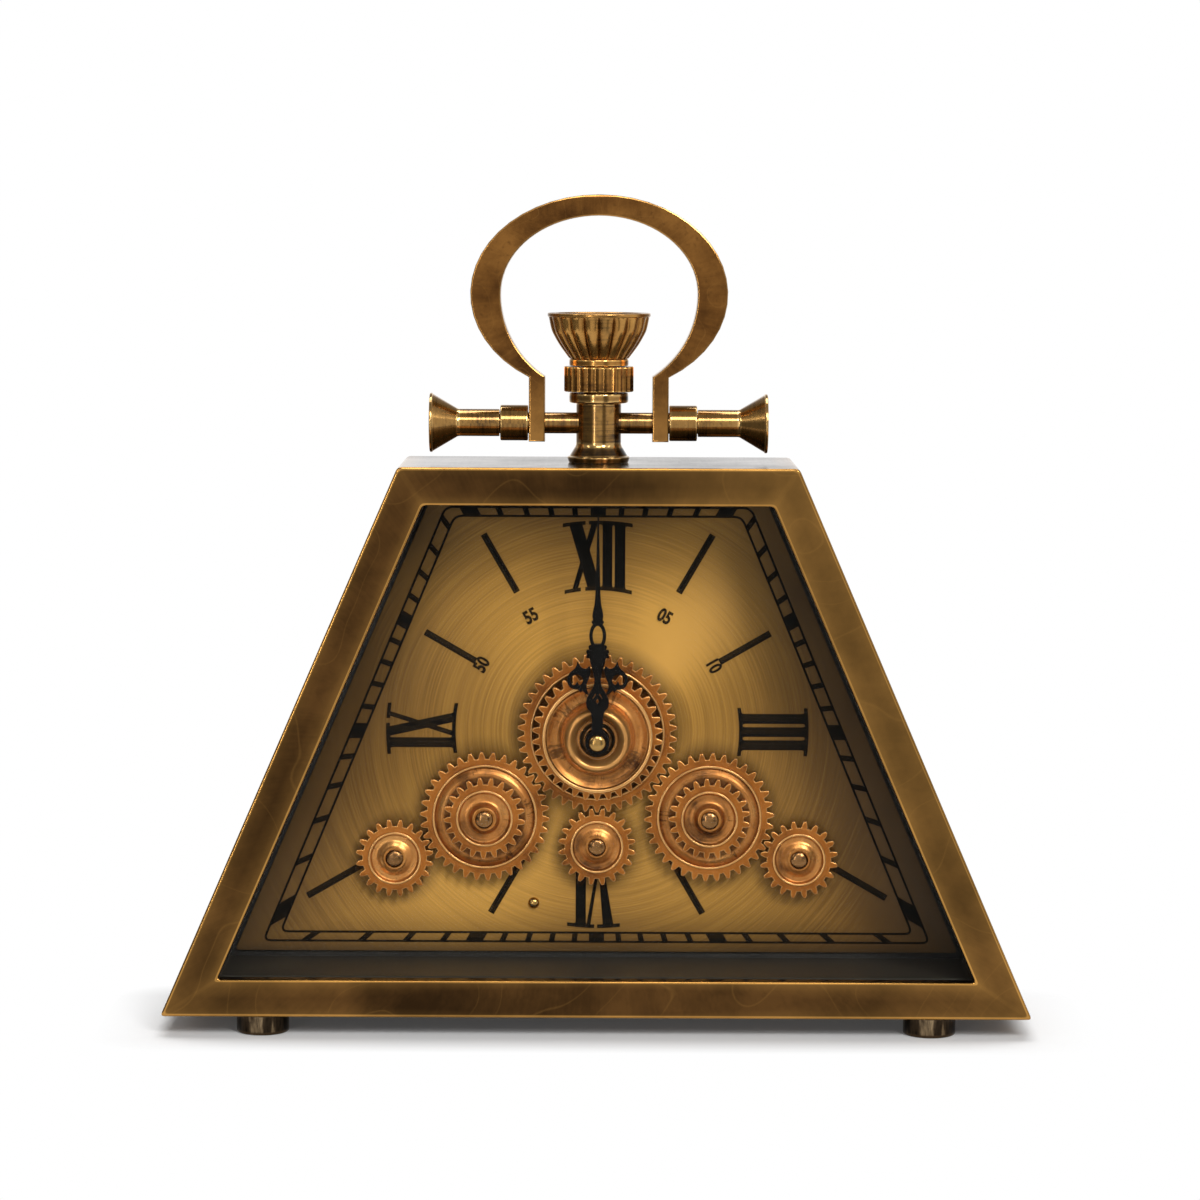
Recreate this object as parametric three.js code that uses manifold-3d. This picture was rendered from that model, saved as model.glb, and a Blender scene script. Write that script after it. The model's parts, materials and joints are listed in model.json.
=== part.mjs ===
// Table clock with a trapezoid brass case, a train of six turning wheels and a bow handle.
// Millimetres. The model is drawn upright, with X to the right, Y up and Z to the viewer,
// and is turned at the end so that Z is up.
import * as THREE from 'three';
import { mergeVertices } from 'three/addons/utils/BufferGeometryUtils.js';
import Module from 'manifold-3d';

const wasm = await Module();
wasm.setup();

// Case
const BASE_WIDTH = 330;
const TOP_WIDTH = 150;
const CASE_HEIGHT = 208.5;
const CASE_DEPTH = 70;
const CORNER_RADIUS = 1.6;
const WALL = 2;
const FRAME_WIDTH = 14.2;
const FRAME_THICKNESS = 2;
const LIP_THICKNESS = 1.6;
const LIP_DEPTH = 6;
const FIT = 0.3;

// Feet
const FOOT_HEIGHT = 7.5;
const FOOT_RADIUS = 10;
const FOOT_EDGE = 1;
const FOOT_FROM_END = 38;
const FOOT_SETBACK = 11;
const FOOT_STUD_RADIUS = 3;

// Glass, liner, dial and board, one behind the other
const GLASS_THICKNESS = 2;
const GLASS_MARGIN = 4;
const LINER_WALL = 1.5;
const HAND_ROOM = 3.3;
const DIAL_THICKNESS = 1;
const DIAL_SIDE_GAP = 1.3;
const DIAL_FOOT_GAP = 2.4;
const BOARD_THICKNESS = 2;
const BOARD_MARGIN = 8;
const RIVET_RADIUS = 2.2;
const RIVET_RISE = 1.6;
const RIVET_LEFT = 24.5;
const RIVET_ABOVE_DIAL_FOOT = 19.1;

// Rear cover
const COVER_THICKNESS = 1.2;
const COVER_RECESS = 1.8;
const COVER_WINDOW_GAP = 1.5;
const LUG_WIDTH = 14;
const LUG_HEIGHT = 9;
const LUG_FROM_CORNER = 16;
const SCREW_RADIUS = 1.2;
const SCREW_LENGTH = 8;
const SCREW_HEAD_RADIUS = 3;
const SCREW_HEAD_HEIGHT = 1.3;

// Wheels
const CENTRE_HEIGHT = 110.7;
const MODULE = 1.43;
const PRESSURE_ANGLE = 25 * Math.PI / 180;
const ADDENDUM = 0.6 * MODULE;
const DEDENDUM = 1.2 * MODULE;
const BACKLASH = 0.4;
const CENTRE_TEETH = 42;
const SIDE_TEETH = 34;
const SMALL_TEETH = 20;
const CENTRE_UPPER_TEETH = 34;
const SIDE_UPPER_TEETH = 21;
const SIDE_WHEEL_ANGLE = -36.9 * Math.PI / 180;
const FAR_WHEEL_ANGLE = -25.2 * Math.PI / 180;
const PLATE = 2.4;
const WHEEL_BACK_GAP = 4;
const RIM_WIDTH = 2;
const RIM_INSET = 2.2;
const RIM_PROUD = 2;
const SMALL_RIM_PROUD = 1.4;
const WEB_THICKNESS = 1.2;
const HUB_WALL = 2.4;
const PIN_RADIUS = 2.5;
const PIN_HEAD_RADIUS = 3.7;
const PIN_HEAD_HEIGHT = 2.2;
const PIN_COLLAR_RADIUS = 5;
const PIN_RIVET_RADIUS = 4;
const PIN_RIVET_HEIGHT = 1.4;
const SMALL_HUB_HEIGHT = 3;
const SIDE_UPPER_RISE = 4.6;
const SIDE_UPPER_HUB = 5;
const CENTRE_UPPER_RISE = 8;
const DRUM_RADIUS = 21.2;
const DRUM_WALL = 1.6;
const DRUM_HEIGHT = 6;
const DOME_RING_RADIUS = 10.8;
const DOME_RING_BULGE = 2.6;
const DOME_HEIGHT = 12.5;
const DOME_MOUTH_RADIUS = 7.6;
const DOME_MOUTH_DEPTH = 5;

// Movement and hands
const MOVEMENT_SIZE = 56;
const BUSH_RADIUS = 5;
const BUSH_SEAT = 3;
const BUSH_NUT_RADIUS = 7.6;
const BUSH_NUT_HEIGHT = 2.8;
const BUSH_COLLAR_HEIGHT = 1.5;
const TUBE_RADIUS = 3.5;
const SHAFT_RADIUS = 2;
const ARBOR_DEPTH = 9;
const HAND_THICKNESS = 1;
const HAND_GAP = 1;
const HOUR_HAND_LIFT = 2.5;
const HOUR_HAND_LENGTH = 56;
const MINUTE_HAND_END_GAP = 3;
const HAND_HUB_RADIUS = 4.7;
const HAND_SHAFT_WIDTH = 4.1;
const BOSS_HEIGHT = 14.4;
const BOSS_WIDTH = 8.6;
const BOSS_RISE = 3.4;
const DIAMOND_WIDTH = 1.8;
const DIAMOND_RISE = 2.7;
const DIAMOND_ABOVE_BOSS = 1.1;
const STEM_WIDTH = 2.6;
const SCROLL_SPREAD = 7.4;
const SCROLL_HEIGHT = 23.7;
const SCROLL_RADIUS = 3.6;
const SCROLL_EYE = 1.5;
const SCROLL_TIP_RISE = 7.7;
const HAND_COLLAR_HEIGHT = 33;
const HAND_COLLAR_WIDTH = 8.3;
const HAND_COLLAR_RISE = 3.4;
const CRENELS = 3;
const CRENEL_RISE = 1.7;
const LYRE_WIDTH = 6.6;
const LYRE_RISE = 5.4;
const LYRE_BAND = 1.1;
const SPADE_RISE = 3;
const SPADE_WIDTH = 4.7;
const SPADE_LENGTH = 9;
const NEEDLE_WIDTH = 2;
const HAND_NUT_RADIUS = 3.2;
const HAND_NUT_HEIGHT = 2.1;
const KNOB_RADIUS = 6;
const KNOB_HEIGHT = 4;
const KNOB_ABOVE_CENTRE = 15;
const KNOB_STEM_RADIUS = 1.5;
const CELL_RADIUS = 7.1;
const CELL_LENGTH = 49;
const CELL_BUTTON_RADIUS = 2.7;
const CELL_BUTTON_HEIGHT = 1.2;
const CELL_WALL = 2.2;
const BOX_FRONT_WALL = 1.5;

// Gear motor
const MOTOR_WIDTH = 36;
const MOTOR_HEIGHT = 60;
const MOTOR_ARBOR_TO_SIDE = 6;
const MOTOR_ARBOR_TO_FOOT = 9;
const MOTOR_EAR_LENGTH = 8;
const MOTOR_EAR_WIDTH = 14;
const MOTOR_EAR_THICKNESS = 3;

// Stem, crown and cross bar
const POST_RADIUS = 8.6;
const POST_FLANGE_RADIUS = 12;
const POST_FLANGE_HEIGHT = 7;
const POST_FLANGE_EDGE = 1.75;
const POST_COLLAR_RADIUS = 11.3;
const POST_COLLAR_HEIGHT = 4;
const AXIS_ABOVE_TOP = 15;
const POST_COLLAR_ABOVE_AXIS = 7.7;
const SPIGOT_RADIUS = 5;
const SPIGOT_IN_CUP = 8;
const STEM_STUD_RADIUS = 4;
const STEM_NUT_RADIUS = 7.5;
const STEM_NUT_HEIGHT = 4;
const RING_RADIUS = 13.2;
const RING_HEIGHT = 9.6;
const RING_RIBS = 28;
const RIB_DEPTH = 0.6;
const CUP_NECK_RADIUS = 11.3;
const CUP_NECK_HEIGHT = 2.8;
const CUP_FOOT_RADIUS = 12.5;
const CUP_BELL_HEIGHT = 14.8;
const CUP_RIM_HEIGHT = 2.4;
const CUP_RADIUS = 19.6;
const CUP_RECESS_DEPTH = 3;
const CUP_RIM_WALL = 2.2;
const FLUTES = 20;
const FLUTE_DEPTH = 0.9;
const BAR_RADIUS = 4.05;
const SLEEVE_RADIUS = 6.8;
const SLEEVE_LENGTH = 10.6;
const BAR_END_SHANK_RADIUS = 5.2;
const BAR_END_SHANK_LENGTH = 15.8;
const BAR_END_CONE_LENGTH = 10.8;
const BAR_END_RIM_RADIUS = 11.3;
const BAR_END_RIM_WIDTH = 1.4;
const BAR_END_SOCKET = 8;

// Bow handle
const BOW_DEPTH = 12.6;
const BOW_HALF_WIDTH = 48.9;
const BOW_RISE = 37.6;
const BOW_CENTRE_ABOVE_AXIS = 49.1;
const BOW_SIDE_BAND = 11.5;
const BOW_TOP_BAND = 8;
const BOW_LOWER_INNER_RISE = 37.4;
const LEG_INNER = 20.4;
const LEG_WIDTH = 6.2;
const LEG_BELOW_AXIS = 6.9;

// Facet counts, and the distance within which corners are welded
const ROUND = 18;
const PIN_ROUND = 10;
const SCREW_ROUND = 8;
const CORNER_STEPS = 3;
const BLADE_STEPS = 4;
const DOME_STEPS = 4;
const FLUTE_STEPS = 2;
const WELD_DISTANCE = 1e-4;

// Finishes
function finish(color, roughness, metalness) {
  return new THREE.MeshStandardMaterial({ color, roughness, metalness });
}

const antiqueBrass = finish(0x7a5a30, 0.4, 1);
const polishedBrass = finish(0xb08a4c, 0.3, 1);
const dialBrass = finish(0xb8945a, 0.35, 1);
const copper = finish(0xb8733c, 0.38, 1);
const pinMetal = finish(0xaa967d, 0.3, 1);
const steel = finish(0x8c8c8a, 0.35, 1);
const blackPaint = finish(0x1c1b19, 0.55, 0);
const blackPlastic = finish(0x1a1a1c, 0.6, 0);
const clearGlass = finish(0xe8eef0, 0.05, 0);
const cellWrap = finish(0x2d4a6b, 0.4, 0);

// Solids
function solid(geometry) {
  const bare = geometry.clone();
  bare.deleteAttribute('normal');
  bare.deleteAttribute('uv');
  const merged = mergeVertices(bare, WELD_DISTANCE);
  const corners = merged.index.array;
  const kept = [];
  for (let i = 0; i < corners.length; i += 3) {
    const [a, b, c] = corners.subarray(i, i + 3);
    if (a !== b && b !== c && c !== a) {
      kept.push(a, b, c);
    }
  }
  const vertProperties = new Float32Array(merged.attributes.position.array);
  return new wasm.Manifold(new wasm.Mesh({ numProp: 3, vertProperties, triVerts: new Uint32Array(kept) }));
}

function surface(body) {
  const mesh = body.getMesh();
  const geometry = new THREE.BufferGeometry();
  geometry.setAttribute('position', new THREE.BufferAttribute(mesh.vertProperties, 3));
  geometry.setIndex(new THREE.BufferAttribute(mesh.triVerts, 1));
  geometry.computeVertexNormals();
  return geometry;
}

function join(first, ...others) {
  return surface(others.reduce((body, other) => body.add(solid(other)), solid(first)));
}

function cut(first, ...tools) {
  return surface(tools.reduce((body, tool) => body.subtract(solid(tool)), solid(first)));
}

// A round piece from its half profile of [radius, height] pairs, standing on the Y axis
function turned(profile, segments = ROUND) {
  const points = profile.map(([radius, height]) => new THREE.Vector2(radius, height));
  return new THREE.LatheGeometry(points, segments);
}

// The same with its axis to the viewer
function turnedToFront(profile, segments = ROUND) {
  return turned(profile, segments).rotateX(Math.PI / 2);
}

// The same with its axis to the right
function turnedToRight(profile, segments = ROUND) {
  return turned(profile, segments).rotateZ(-Math.PI / 2);
}

function rod(radius, length) {
  return [[0, 0], [radius, 0], [radius, length], [0, length]];
}

function tube(bore, radius, length) {
  return [[bore, 0], [radius, 0], [radius, length], [bore, length], [bore, 0]];
}

// The upper end of a profile, rounded over from its edge to the axis
function domed(radius, edge, top) {
  const shoulder = edge + (top - edge) * Math.SQRT1_2;
  return [[radius, edge], [radius * Math.SQRT1_2, shoulder], [0, top]];
}

function extruded(shape, thickness, curveSegments = CORNER_STEPS) {
  return new THREE.ExtrudeGeometry(shape, { depth: thickness, bevelEnabled: false, curveSegments });
}

function box(width, height, depth) {
  return new THREE.BoxGeometry(width, height, depth);
}

const upright = new THREE.Group();
upright.rotation.x = Math.PI / 2;

function place(name, geometry, material, x = 0, y = 0, z = 0) {
  const mesh = new THREE.Mesh(geometry, material);
  mesh.name = name;
  mesh.position.set(x, y, z);
  upright.add(mesh);
  return mesh;
}

// Distance behind the front face of the case, as a place on Z
function behindFront(depth) {
  return CASE_DEPTH / 2 - depth;
}

// Case outline, drawn in by the same width on all sides
const slope = (BASE_WIDTH - TOP_WIDTH) / 2 / CASE_HEIGHT;
const sideStretch = Math.hypot(1, slope);
const caseFoot = FOOT_HEIGHT;
const caseTop = FOOT_HEIGHT + CASE_HEIGHT;

function halfWidthAt(height, inset) {
  return BASE_WIDTH / 2 - slope * (height - caseFoot) - inset * sideStretch;
}

function caseOutline(inset, radius, footInset = inset) {
  const foot = caseFoot + footInset;
  const top = caseTop - inset;
  const corners = [
    new THREE.Vector2(-halfWidthAt(foot, inset), foot),
    new THREE.Vector2(halfWidthAt(foot, inset), foot),
    new THREE.Vector2(halfWidthAt(top, inset), top),
    new THREE.Vector2(-halfWidthAt(top, inset), top),
  ];
  const outline = new THREE.Shape();
  corners.forEach((corner, i) => {
    const before = corners[(i + 3) % 4].clone().sub(corner).setLength(radius).add(corner);
    const after = corners[(i + 1) % 4].clone().sub(corner).setLength(radius).add(corner);
    if (i === 0) {
      outline.moveTo(before.x, before.y);
    } else {
      outline.lineTo(before.x, before.y);
    }
    outline.quadraticCurveTo(corner.x, corner.y, after.x, after.y);
  });
  outline.closePath();
  return outline;
}

function caseRing(outerInset, innerInset, frontDepth, rearDepth) {
  const ring = caseOutline(outerInset, CORNER_RADIUS);
  ring.holes.push(caseOutline(innerInset, CORNER_RADIUS));
  return extruded(ring, rearDepth - frontDepth).translate(0, 0, behindFront(rearDepth));
}

// Depths of the stack behind the front face, from the glass through the hands and wheels to the cover
const glassDepth = LIP_DEPTH + FIT;
const glassRear = glassDepth + GLASS_THICKNESS;
const linerDepth = glassRear + FIT;
const nutRear = glassRear + HAND_ROOM + HAND_NUT_HEIGHT;
const minuteFront = nutRear + FIT;
const minuteRear = minuteFront + HAND_THICKNESS;
const hourFront = minuteRear + HAND_GAP;
const hourRear = hourFront + HAND_THICKNESS;
const domeRear = hourRear + HOUR_HAND_LIFT + DOME_HEIGHT;
const upperWheelRear = domeRear + FIT + PLATE;
const wheelRear = upperWheelRear + CENTRE_UPPER_RISE;
const dialDepth = wheelRear + WHEEL_BACK_GAP;
const boardDepth = dialDepth + DIAL_THICKNESS + FIT;
const boardRear = boardDepth + BOARD_THICKNESS;
const boxDepth = boardRear + FIT;
const boxThickness = BOX_FRONT_WALL + FIT + 2 * CELL_RADIUS;
const boxRear = boxDepth + boxThickness;
const coverRear = CASE_DEPTH - COVER_RECESS;
const coverDepth = coverRear - COVER_THICKNESS;
const lugRear = coverDepth - FIT;

// Case shell with the welded frame, its inner lip and four lugs for the rear cover
const footX = BASE_WIDTH / 2 - FOOT_FROM_END;
const footZ = CASE_DEPTH / 2 - FOOT_SETBACK;
const drillLength = 3 * WALL;
const lugPlaces = [];
for (const side of [-1, 1]) {
  const lowX = side * (halfWidthAt(caseFoot, WALL) - LUG_FROM_CORNER - LUG_WIDTH / 2);
  const highX = side * (halfWidthAt(caseTop, WALL) - LUG_WIDTH / 2 - WALL);
  lugPlaces.push({ x: lowX, y: caseFoot + WALL + LUG_HEIGHT / 2, grow: -1 });
  lugPlaces.push({ x: highX, y: caseTop - WALL - LUG_HEIGHT / 2, grow: 1 });
}
const lugLength = lugRear - boxDepth;
const lugMiddle = behindFront(boxDepth + lugLength / 2);
const lugs = lugPlaces.map(({ x, y, grow }) => (
  box(LUG_WIDTH, LUG_HEIGHT + WALL / 2, lugLength).translate(x, y + grow * WALL / 4, lugMiddle)
));
const screwHoles = lugPlaces.map(({ x, y }) => (
  turnedToFront(rod(SCREW_RADIUS + FIT, SCREW_LENGTH + 2 * FIT), SCREW_ROUND)
    .translate(x, y, behindFront(lugRear + FIT))
));
const footHoles = [];
for (const x of [-footX, footX]) {
  for (const z of [-footZ, footZ]) {
    const drill = turned(rod(FOOT_STUD_RADIUS + FIT, drillLength), SCREW_ROUND);
    footHoles.push(drill.translate(x, caseFoot - WALL, z));
  }
}
const stemDrill = turned(rod(STEM_STUD_RADIUS + FIT, drillLength), PIN_ROUND);
const stemHole = stemDrill.translate(0, caseTop - 2 * WALL, 0);
const band = join(
  caseRing(0, WALL, 0, CASE_DEPTH),
  caseRing(0, FRAME_WIDTH, 0, FRAME_THICKNESS),
  caseRing(FRAME_WIDTH - LIP_THICKNESS, FRAME_WIDTH, 0, LIP_DEPTH),
  ...lugs,
);
place('case_shell', cut(band, ...screwHoles, ...footHoles, stemHole), antiqueBrass);

// Feet, each a turned button with a stud into the bottom wall
const footProfile = [
  [0, 0],
  [FOOT_RADIUS - FOOT_EDGE, 0],
  [FOOT_RADIUS, FOOT_EDGE],
  [FOOT_RADIUS, FOOT_HEIGHT - FIT],
  [FOOT_STUD_RADIUS, FOOT_HEIGHT - FIT],
  [FOOT_STUD_RADIUS, FOOT_HEIGHT + WALL],
  [0, FOOT_HEIGHT + WALL],
];
place('foot_front_left', turned(footProfile), antiqueBrass, -footX, 0, footZ);
place('foot_front_right', turned(footProfile), antiqueBrass, footX, 0, footZ);
place('foot_rear_left', turned(footProfile), antiqueBrass, -footX, 0, -footZ);
place('foot_rear_right', turned(footProfile), antiqueBrass, footX, 0, -footZ);

// Glass, held between the lip of the frame and the liner
const glassOutline = caseOutline(FRAME_WIDTH - GLASS_MARGIN, CORNER_RADIUS);
place('glass_pane', extruded(glassOutline, GLASS_THICKNESS), clearGlass, 0, 0, behindFront(glassRear));
place('liner', caseRing(FRAME_WIDTH - LINER_WALL, FRAME_WIDTH, linerDepth, boardDepth - FIT), blackPaint);

// Places of the wheels on the dial, and the turn of each wheel that puts it in mesh
function pitchRadius(teeth) {
  return teeth * MODULE / 2;
}

function meshedWith(driver, angle, teeth) {
  const distance = pitchRadius(driver.teeth) + pitchRadius(teeth);
  const slip = (angle - driver.phase) * driver.teeth / teeth;
  return {
    teeth,
    x: driver.x + distance * Math.cos(angle),
    y: driver.y + distance * Math.sin(angle),
    phase: angle + Math.PI + Math.PI / teeth + slip,
  };
}

const centre = { teeth: CENTRE_TEETH, x: 0, y: CENTRE_HEIGHT, phase: Math.PI / 2 };
const right = meshedWith(centre, SIDE_WHEEL_ANGLE, SIDE_TEETH);
const left = meshedWith(centre, Math.PI - SIDE_WHEEL_ANGLE, SIDE_TEETH);
const bottom = meshedWith(centre, -Math.PI / 2, SMALL_TEETH);
const farRight = meshedWith(right, FAR_WHEEL_ANGLE, SMALL_TEETH);
const farLeft = meshedWith(left, Math.PI - FAR_WHEEL_ANGLE, SMALL_TEETH);

// Toothed outline whose straight flanks run between points of an involute
function toothedOutline(teeth, phase) {
  const pitch = pitchRadius(teeth);
  const base = pitch * Math.cos(PRESSURE_ANGLE);
  const involute = (radius) => {
    const angle = Math.acos(Math.min(1, base / radius));
    return Math.tan(angle) - angle;
  };
  const pitchHalf = Math.PI / (2 * teeth) - BACKLASH / (2 * pitch);
  const halfAt = (radius) => pitchHalf + involute(pitch) - involute(radius);
  const radii = [pitch - DEDENDUM, pitch + ADDENDUM];
  const points = [];
  for (let tooth = 0; tooth < teeth; tooth += 1) {
    const middle = phase + tooth * 2 * Math.PI / teeth;
    const point = (radius, side) => {
      const angle = middle + side * halfAt(Math.max(radius, base));
      points.push(new THREE.Vector2(radius * Math.cos(angle), radius * Math.sin(angle)));
    };
    radii.forEach((radius) => point(radius, -1));
    radii.toReversed().forEach((radius) => point(radius, 1));
  }
  return new THREE.Shape(points);
}

// A wheel: a toothed plate joined to a turned middle, which overlaps the plate's hole
function wheel(teeth, phase, holeRadius, middleProfile) {
  const outline = toothedOutline(teeth, phase);
  outline.holes.push(new THREE.Path().absarc(0, 0, holeRadius, 0, 2 * Math.PI));
  return join(extruded(outline, PLATE, ROUND / 2), turnedToFront(middleProfile));
}

function rimRadius(teeth) {
  return pitchRadius(teeth) - DEDENDUM - RIM_INSET;
}

// Heights in a wheel are measured from the rear face of its plate
const wheelZ = behindFront(wheelRear);
const pinBore = PIN_RADIUS + FIT;
const bushBore = BUSH_RADIUS + FIT;

function dishedWheel(spot, bore, proud, hubHeight) {
  const rim = rimRadius(spot.teeth);
  const rimInner = rim - RIM_WIDTH;
  const hub = bore + HUB_WALL;
  const middle = [
    [bore, 0],
    [rim, 0],
    [rim, PLATE + proud / 2],
    [rim - RIM_WIDTH / 2, PLATE + proud],
    [rimInner, PLATE],
    [(rimInner + hub) / 2, WEB_THICKNESS],
    [hub, hubHeight - FIT],
    [bore, hubHeight - FIT],
    [bore, 0],
  ];
  return wheel(spot.teeth, spot.phase, rim - RIM_WIDTH / 2, middle);
}

// A pin or arbor, with heights from the rear of the board to its domed head in front of the wheel
function headedPin(tail, headHeight) {
  const seatFoot = boardRear - dialDepth + FIT;
  const seatTop = boardRear - wheelRear - FIT;
  const head = boardRear - wheelRear + headHeight;
  return turnedToFront([
    ...tail,
    [PIN_RADIUS, seatFoot],
    [PIN_COLLAR_RADIUS, seatFoot],
    [PIN_COLLAR_RADIUS, seatTop],
    [PIN_RADIUS, seatTop],
    [PIN_RADIUS, head],
    [PIN_HEAD_RADIUS, head],
    ...domed(PIN_HEAD_RADIUS, head + PIN_HEAD_HEIGHT / 2, head + PIN_HEAD_HEIGHT),
  ], PIN_ROUND);
}

const rivetedTail = [
  [0, -FIT - PIN_RIVET_HEIGHT],
  [PIN_RIVET_RADIUS, -FIT - PIN_RIVET_HEIGHT],
  [PIN_RIVET_RADIUS, -FIT],
  [PIN_RADIUS, -FIT],
];
const drivenTail = [
  [0, -ARBOR_DEPTH],
  [PIN_RADIUS, -ARBOR_DEPTH],
];
const pinZ = behindFront(boardRear);

// Left and right wheels, each with an upper wheel fixed in front of it
const sideHead = SIDE_UPPER_RISE + SIDE_UPPER_HUB;
for (const [name, spot] of Object.entries({ left, right })) {
  const upper = { teeth: SIDE_UPPER_TEETH, phase: spot.phase };
  const upperZ = wheelZ + SIDE_UPPER_RISE;
  const lowerWheel = dishedWheel(spot, pinBore, RIM_PROUD, SIDE_UPPER_RISE);
  const upperWheel = dishedWheel(upper, pinBore, SMALL_RIM_PROUD, SIDE_UPPER_HUB);
  place(`${name}_wheel`, lowerWheel, copper, spot.x, spot.y, wheelZ);
  place(`${name}_upper_wheel`, upperWheel, copper, spot.x, spot.y, upperZ);
}
place('left_arbor', headedPin(drivenTail, sideHead), pinMetal, left.x, left.y, pinZ);
place('right_pin', headedPin(rivetedTail, sideHead), pinMetal, right.x, right.y, pinZ);

// Three small wheels on their pins
for (const [name, spot] of Object.entries({ bottom, far_left: farLeft, far_right: farRight })) {
  const smallWheel = dishedWheel(spot, pinBore, SMALL_RIM_PROUD, SMALL_HUB_HEIGHT);
  const pin = headedPin(rivetedTail, SMALL_HUB_HEIGHT);
  place(`${name}_wheel`, smallWheel, copper, spot.x, spot.y, wheelZ);
  place(`${name}_pin`, pin, pinMetal, spot.x, spot.y, pinZ);
}

// Centre wheel, the drum wheel in front of it and the dome inside the drum
const centreWheel = dishedWheel(centre, bushBore, SMALL_RIM_PROUD, CENTRE_UPPER_RISE);
place('centre_wheel', centreWheel, copper, centre.x, centre.y, wheelZ);
const drumInner = DRUM_RADIUS - DRUM_WALL;
const drumTop = PLATE + DRUM_HEIGHT;
const drumMiddle = [
  [bushBore, 0],
  [DRUM_RADIUS, 0],
  [DRUM_RADIUS, drumTop - DRUM_WALL / 2],
  [DRUM_RADIUS - DRUM_WALL / 2, drumTop],
  [drumInner, drumTop - DRUM_WALL / 2],
  [drumInner, PLATE],
  [bushBore, PLATE],
  [bushBore, 0],
];
const drumWheel = wheel(CENTRE_UPPER_TEETH, centre.phase, DRUM_RADIUS - DRUM_WALL / 2, drumMiddle);
place('centre_upper_wheel', drumWheel, copper, centre.x, centre.y, behindFront(upperWheelRear));
const domeRadius = drumInner - FIT;
const domeFloor = DOME_HEIGHT - DOME_MOUTH_DEPTH;
const domeShoulder = DOME_HEIGHT - DOME_RING_BULGE;
const domeRing = Array.from({ length: DOME_STEPS + 1 }, (_, i) => {
  const turn = Math.PI * i / DOME_STEPS;
  return [
    DOME_RING_RADIUS + DOME_RING_BULGE * Math.cos(turn),
    domeShoulder + DOME_RING_BULGE * Math.sin(turn),
  ];
});
const domeProfile = [
  [bushBore, 0],
  [domeRadius, 0],
  [domeRadius, WEB_THICKNESS],
  [DOME_RING_RADIUS + DOME_RING_BULGE, WEB_THICKNESS],
  ...domeRing,
  [DOME_MOUTH_RADIUS, domeShoulder],
  [DOME_MOUTH_RADIUS, domeFloor],
  [bushBore, domeFloor],
  [bushBore, 0],
];
place('centre_dome', turnedToFront(domeProfile), copper, centre.x, centre.y, behindFront(domeRear));

// Movement box with its bush, the nut that clamps it to the dial and the collar that keeps the wheels on
const movementFoot = centre.y - MOVEMENT_SIZE / 2;
const wellLength = CELL_LENGTH + CELL_BUTTON_HEIGHT + 2 * FIT;
const wellWidth = 2 * (CELL_RADIUS + FIT);
const cellZ = behindFront(boxRear - CELL_RADIUS);
const movementCellY = movementFoot + CELL_WALL + CELL_RADIUS + FIT;
const knobY = centre.y + KNOB_ABOVE_CENTRE;
const arborPocket = ARBOR_DEPTH + 2 * FIT;

function frontPocket(radius, x, y) {
  const drill = turnedToFront(rod(radius, arborPocket + FIT), PIN_ROUND);
  return drill.translate(x, y, behindFront(boxDepth + arborPocket));
}

function rearPocket(radius, depth, x, y) {
  const drill = turnedToFront(rod(radius, depth + FIT), PIN_ROUND);
  return drill.translate(x, y, behindFront(boxRear + FIT));
}

function cellWell(width, height, x, y) {
  return box(width, height, wellWidth).translate(x, y, cellZ);
}

const boxMiddle = behindFront((boxDepth + boxRear) / 2);
const movementBox = box(MOVEMENT_SIZE, MOVEMENT_SIZE, boxThickness).translate(centre.x, centre.y, boxMiddle);
const movementCase = cut(
  movementBox,
  frontPocket(bushBore, centre.x, centre.y),
  rearPocket(KNOB_RADIUS + 2 * FIT, KNOB_HEIGHT + FIT, centre.x, knobY),
  rearPocket(KNOB_STEM_RADIUS + FIT, 2 * KNOB_HEIGHT + FIT, centre.x, knobY),
  cellWell(wellLength, wellWidth, centre.x, movementCellY),
);
place('movement_case', movementCase, blackPlastic);
const collarDepth = domeRear - domeFloor - FIT;
const bushFront = collarDepth - BUSH_COLLAR_HEIGHT - FIT;
const bushRear = boxDepth + BUSH_SEAT;
const bush = turnedToFront(tube(TUBE_RADIUS + FIT, BUSH_RADIUS, bushRear - bushFront), PIN_ROUND);
place('movement_bush', bush, polishedBrass, centre.x, centre.y, behindFront(bushRear));

function hexNut(radius, bore, height) {
  const outline = new THREE.Shape();
  for (let corner = 0; corner < 6; corner += 1) {
    const angle = corner * Math.PI / 3;
    const step = corner === 0 ? 'moveTo' : 'lineTo';
    outline[step](radius * Math.cos(angle), radius * Math.sin(angle));
  }
  outline.closePath();
  outline.holes.push(new THREE.Path().absarc(0, 0, bore, 0, 2 * Math.PI));
  return extruded(outline, height, PIN_ROUND / 2);
}

const bushNut = hexNut(BUSH_NUT_RADIUS, bushBore, BUSH_NUT_HEIGHT);
place('bush_nut', bushNut, steel, centre.x, centre.y, behindFront(dialDepth - FIT));
const bushCollarTube = tube(bushBore, DOME_MOUTH_RADIUS - 2 * FIT, BUSH_COLLAR_HEIGHT);
const bushCollar = turnedToFront(bushCollarTube, PIN_ROUND);
place('bush_collar', bushCollar, pinMetal, centre.x, centre.y, behindFront(collarDepth));

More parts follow.
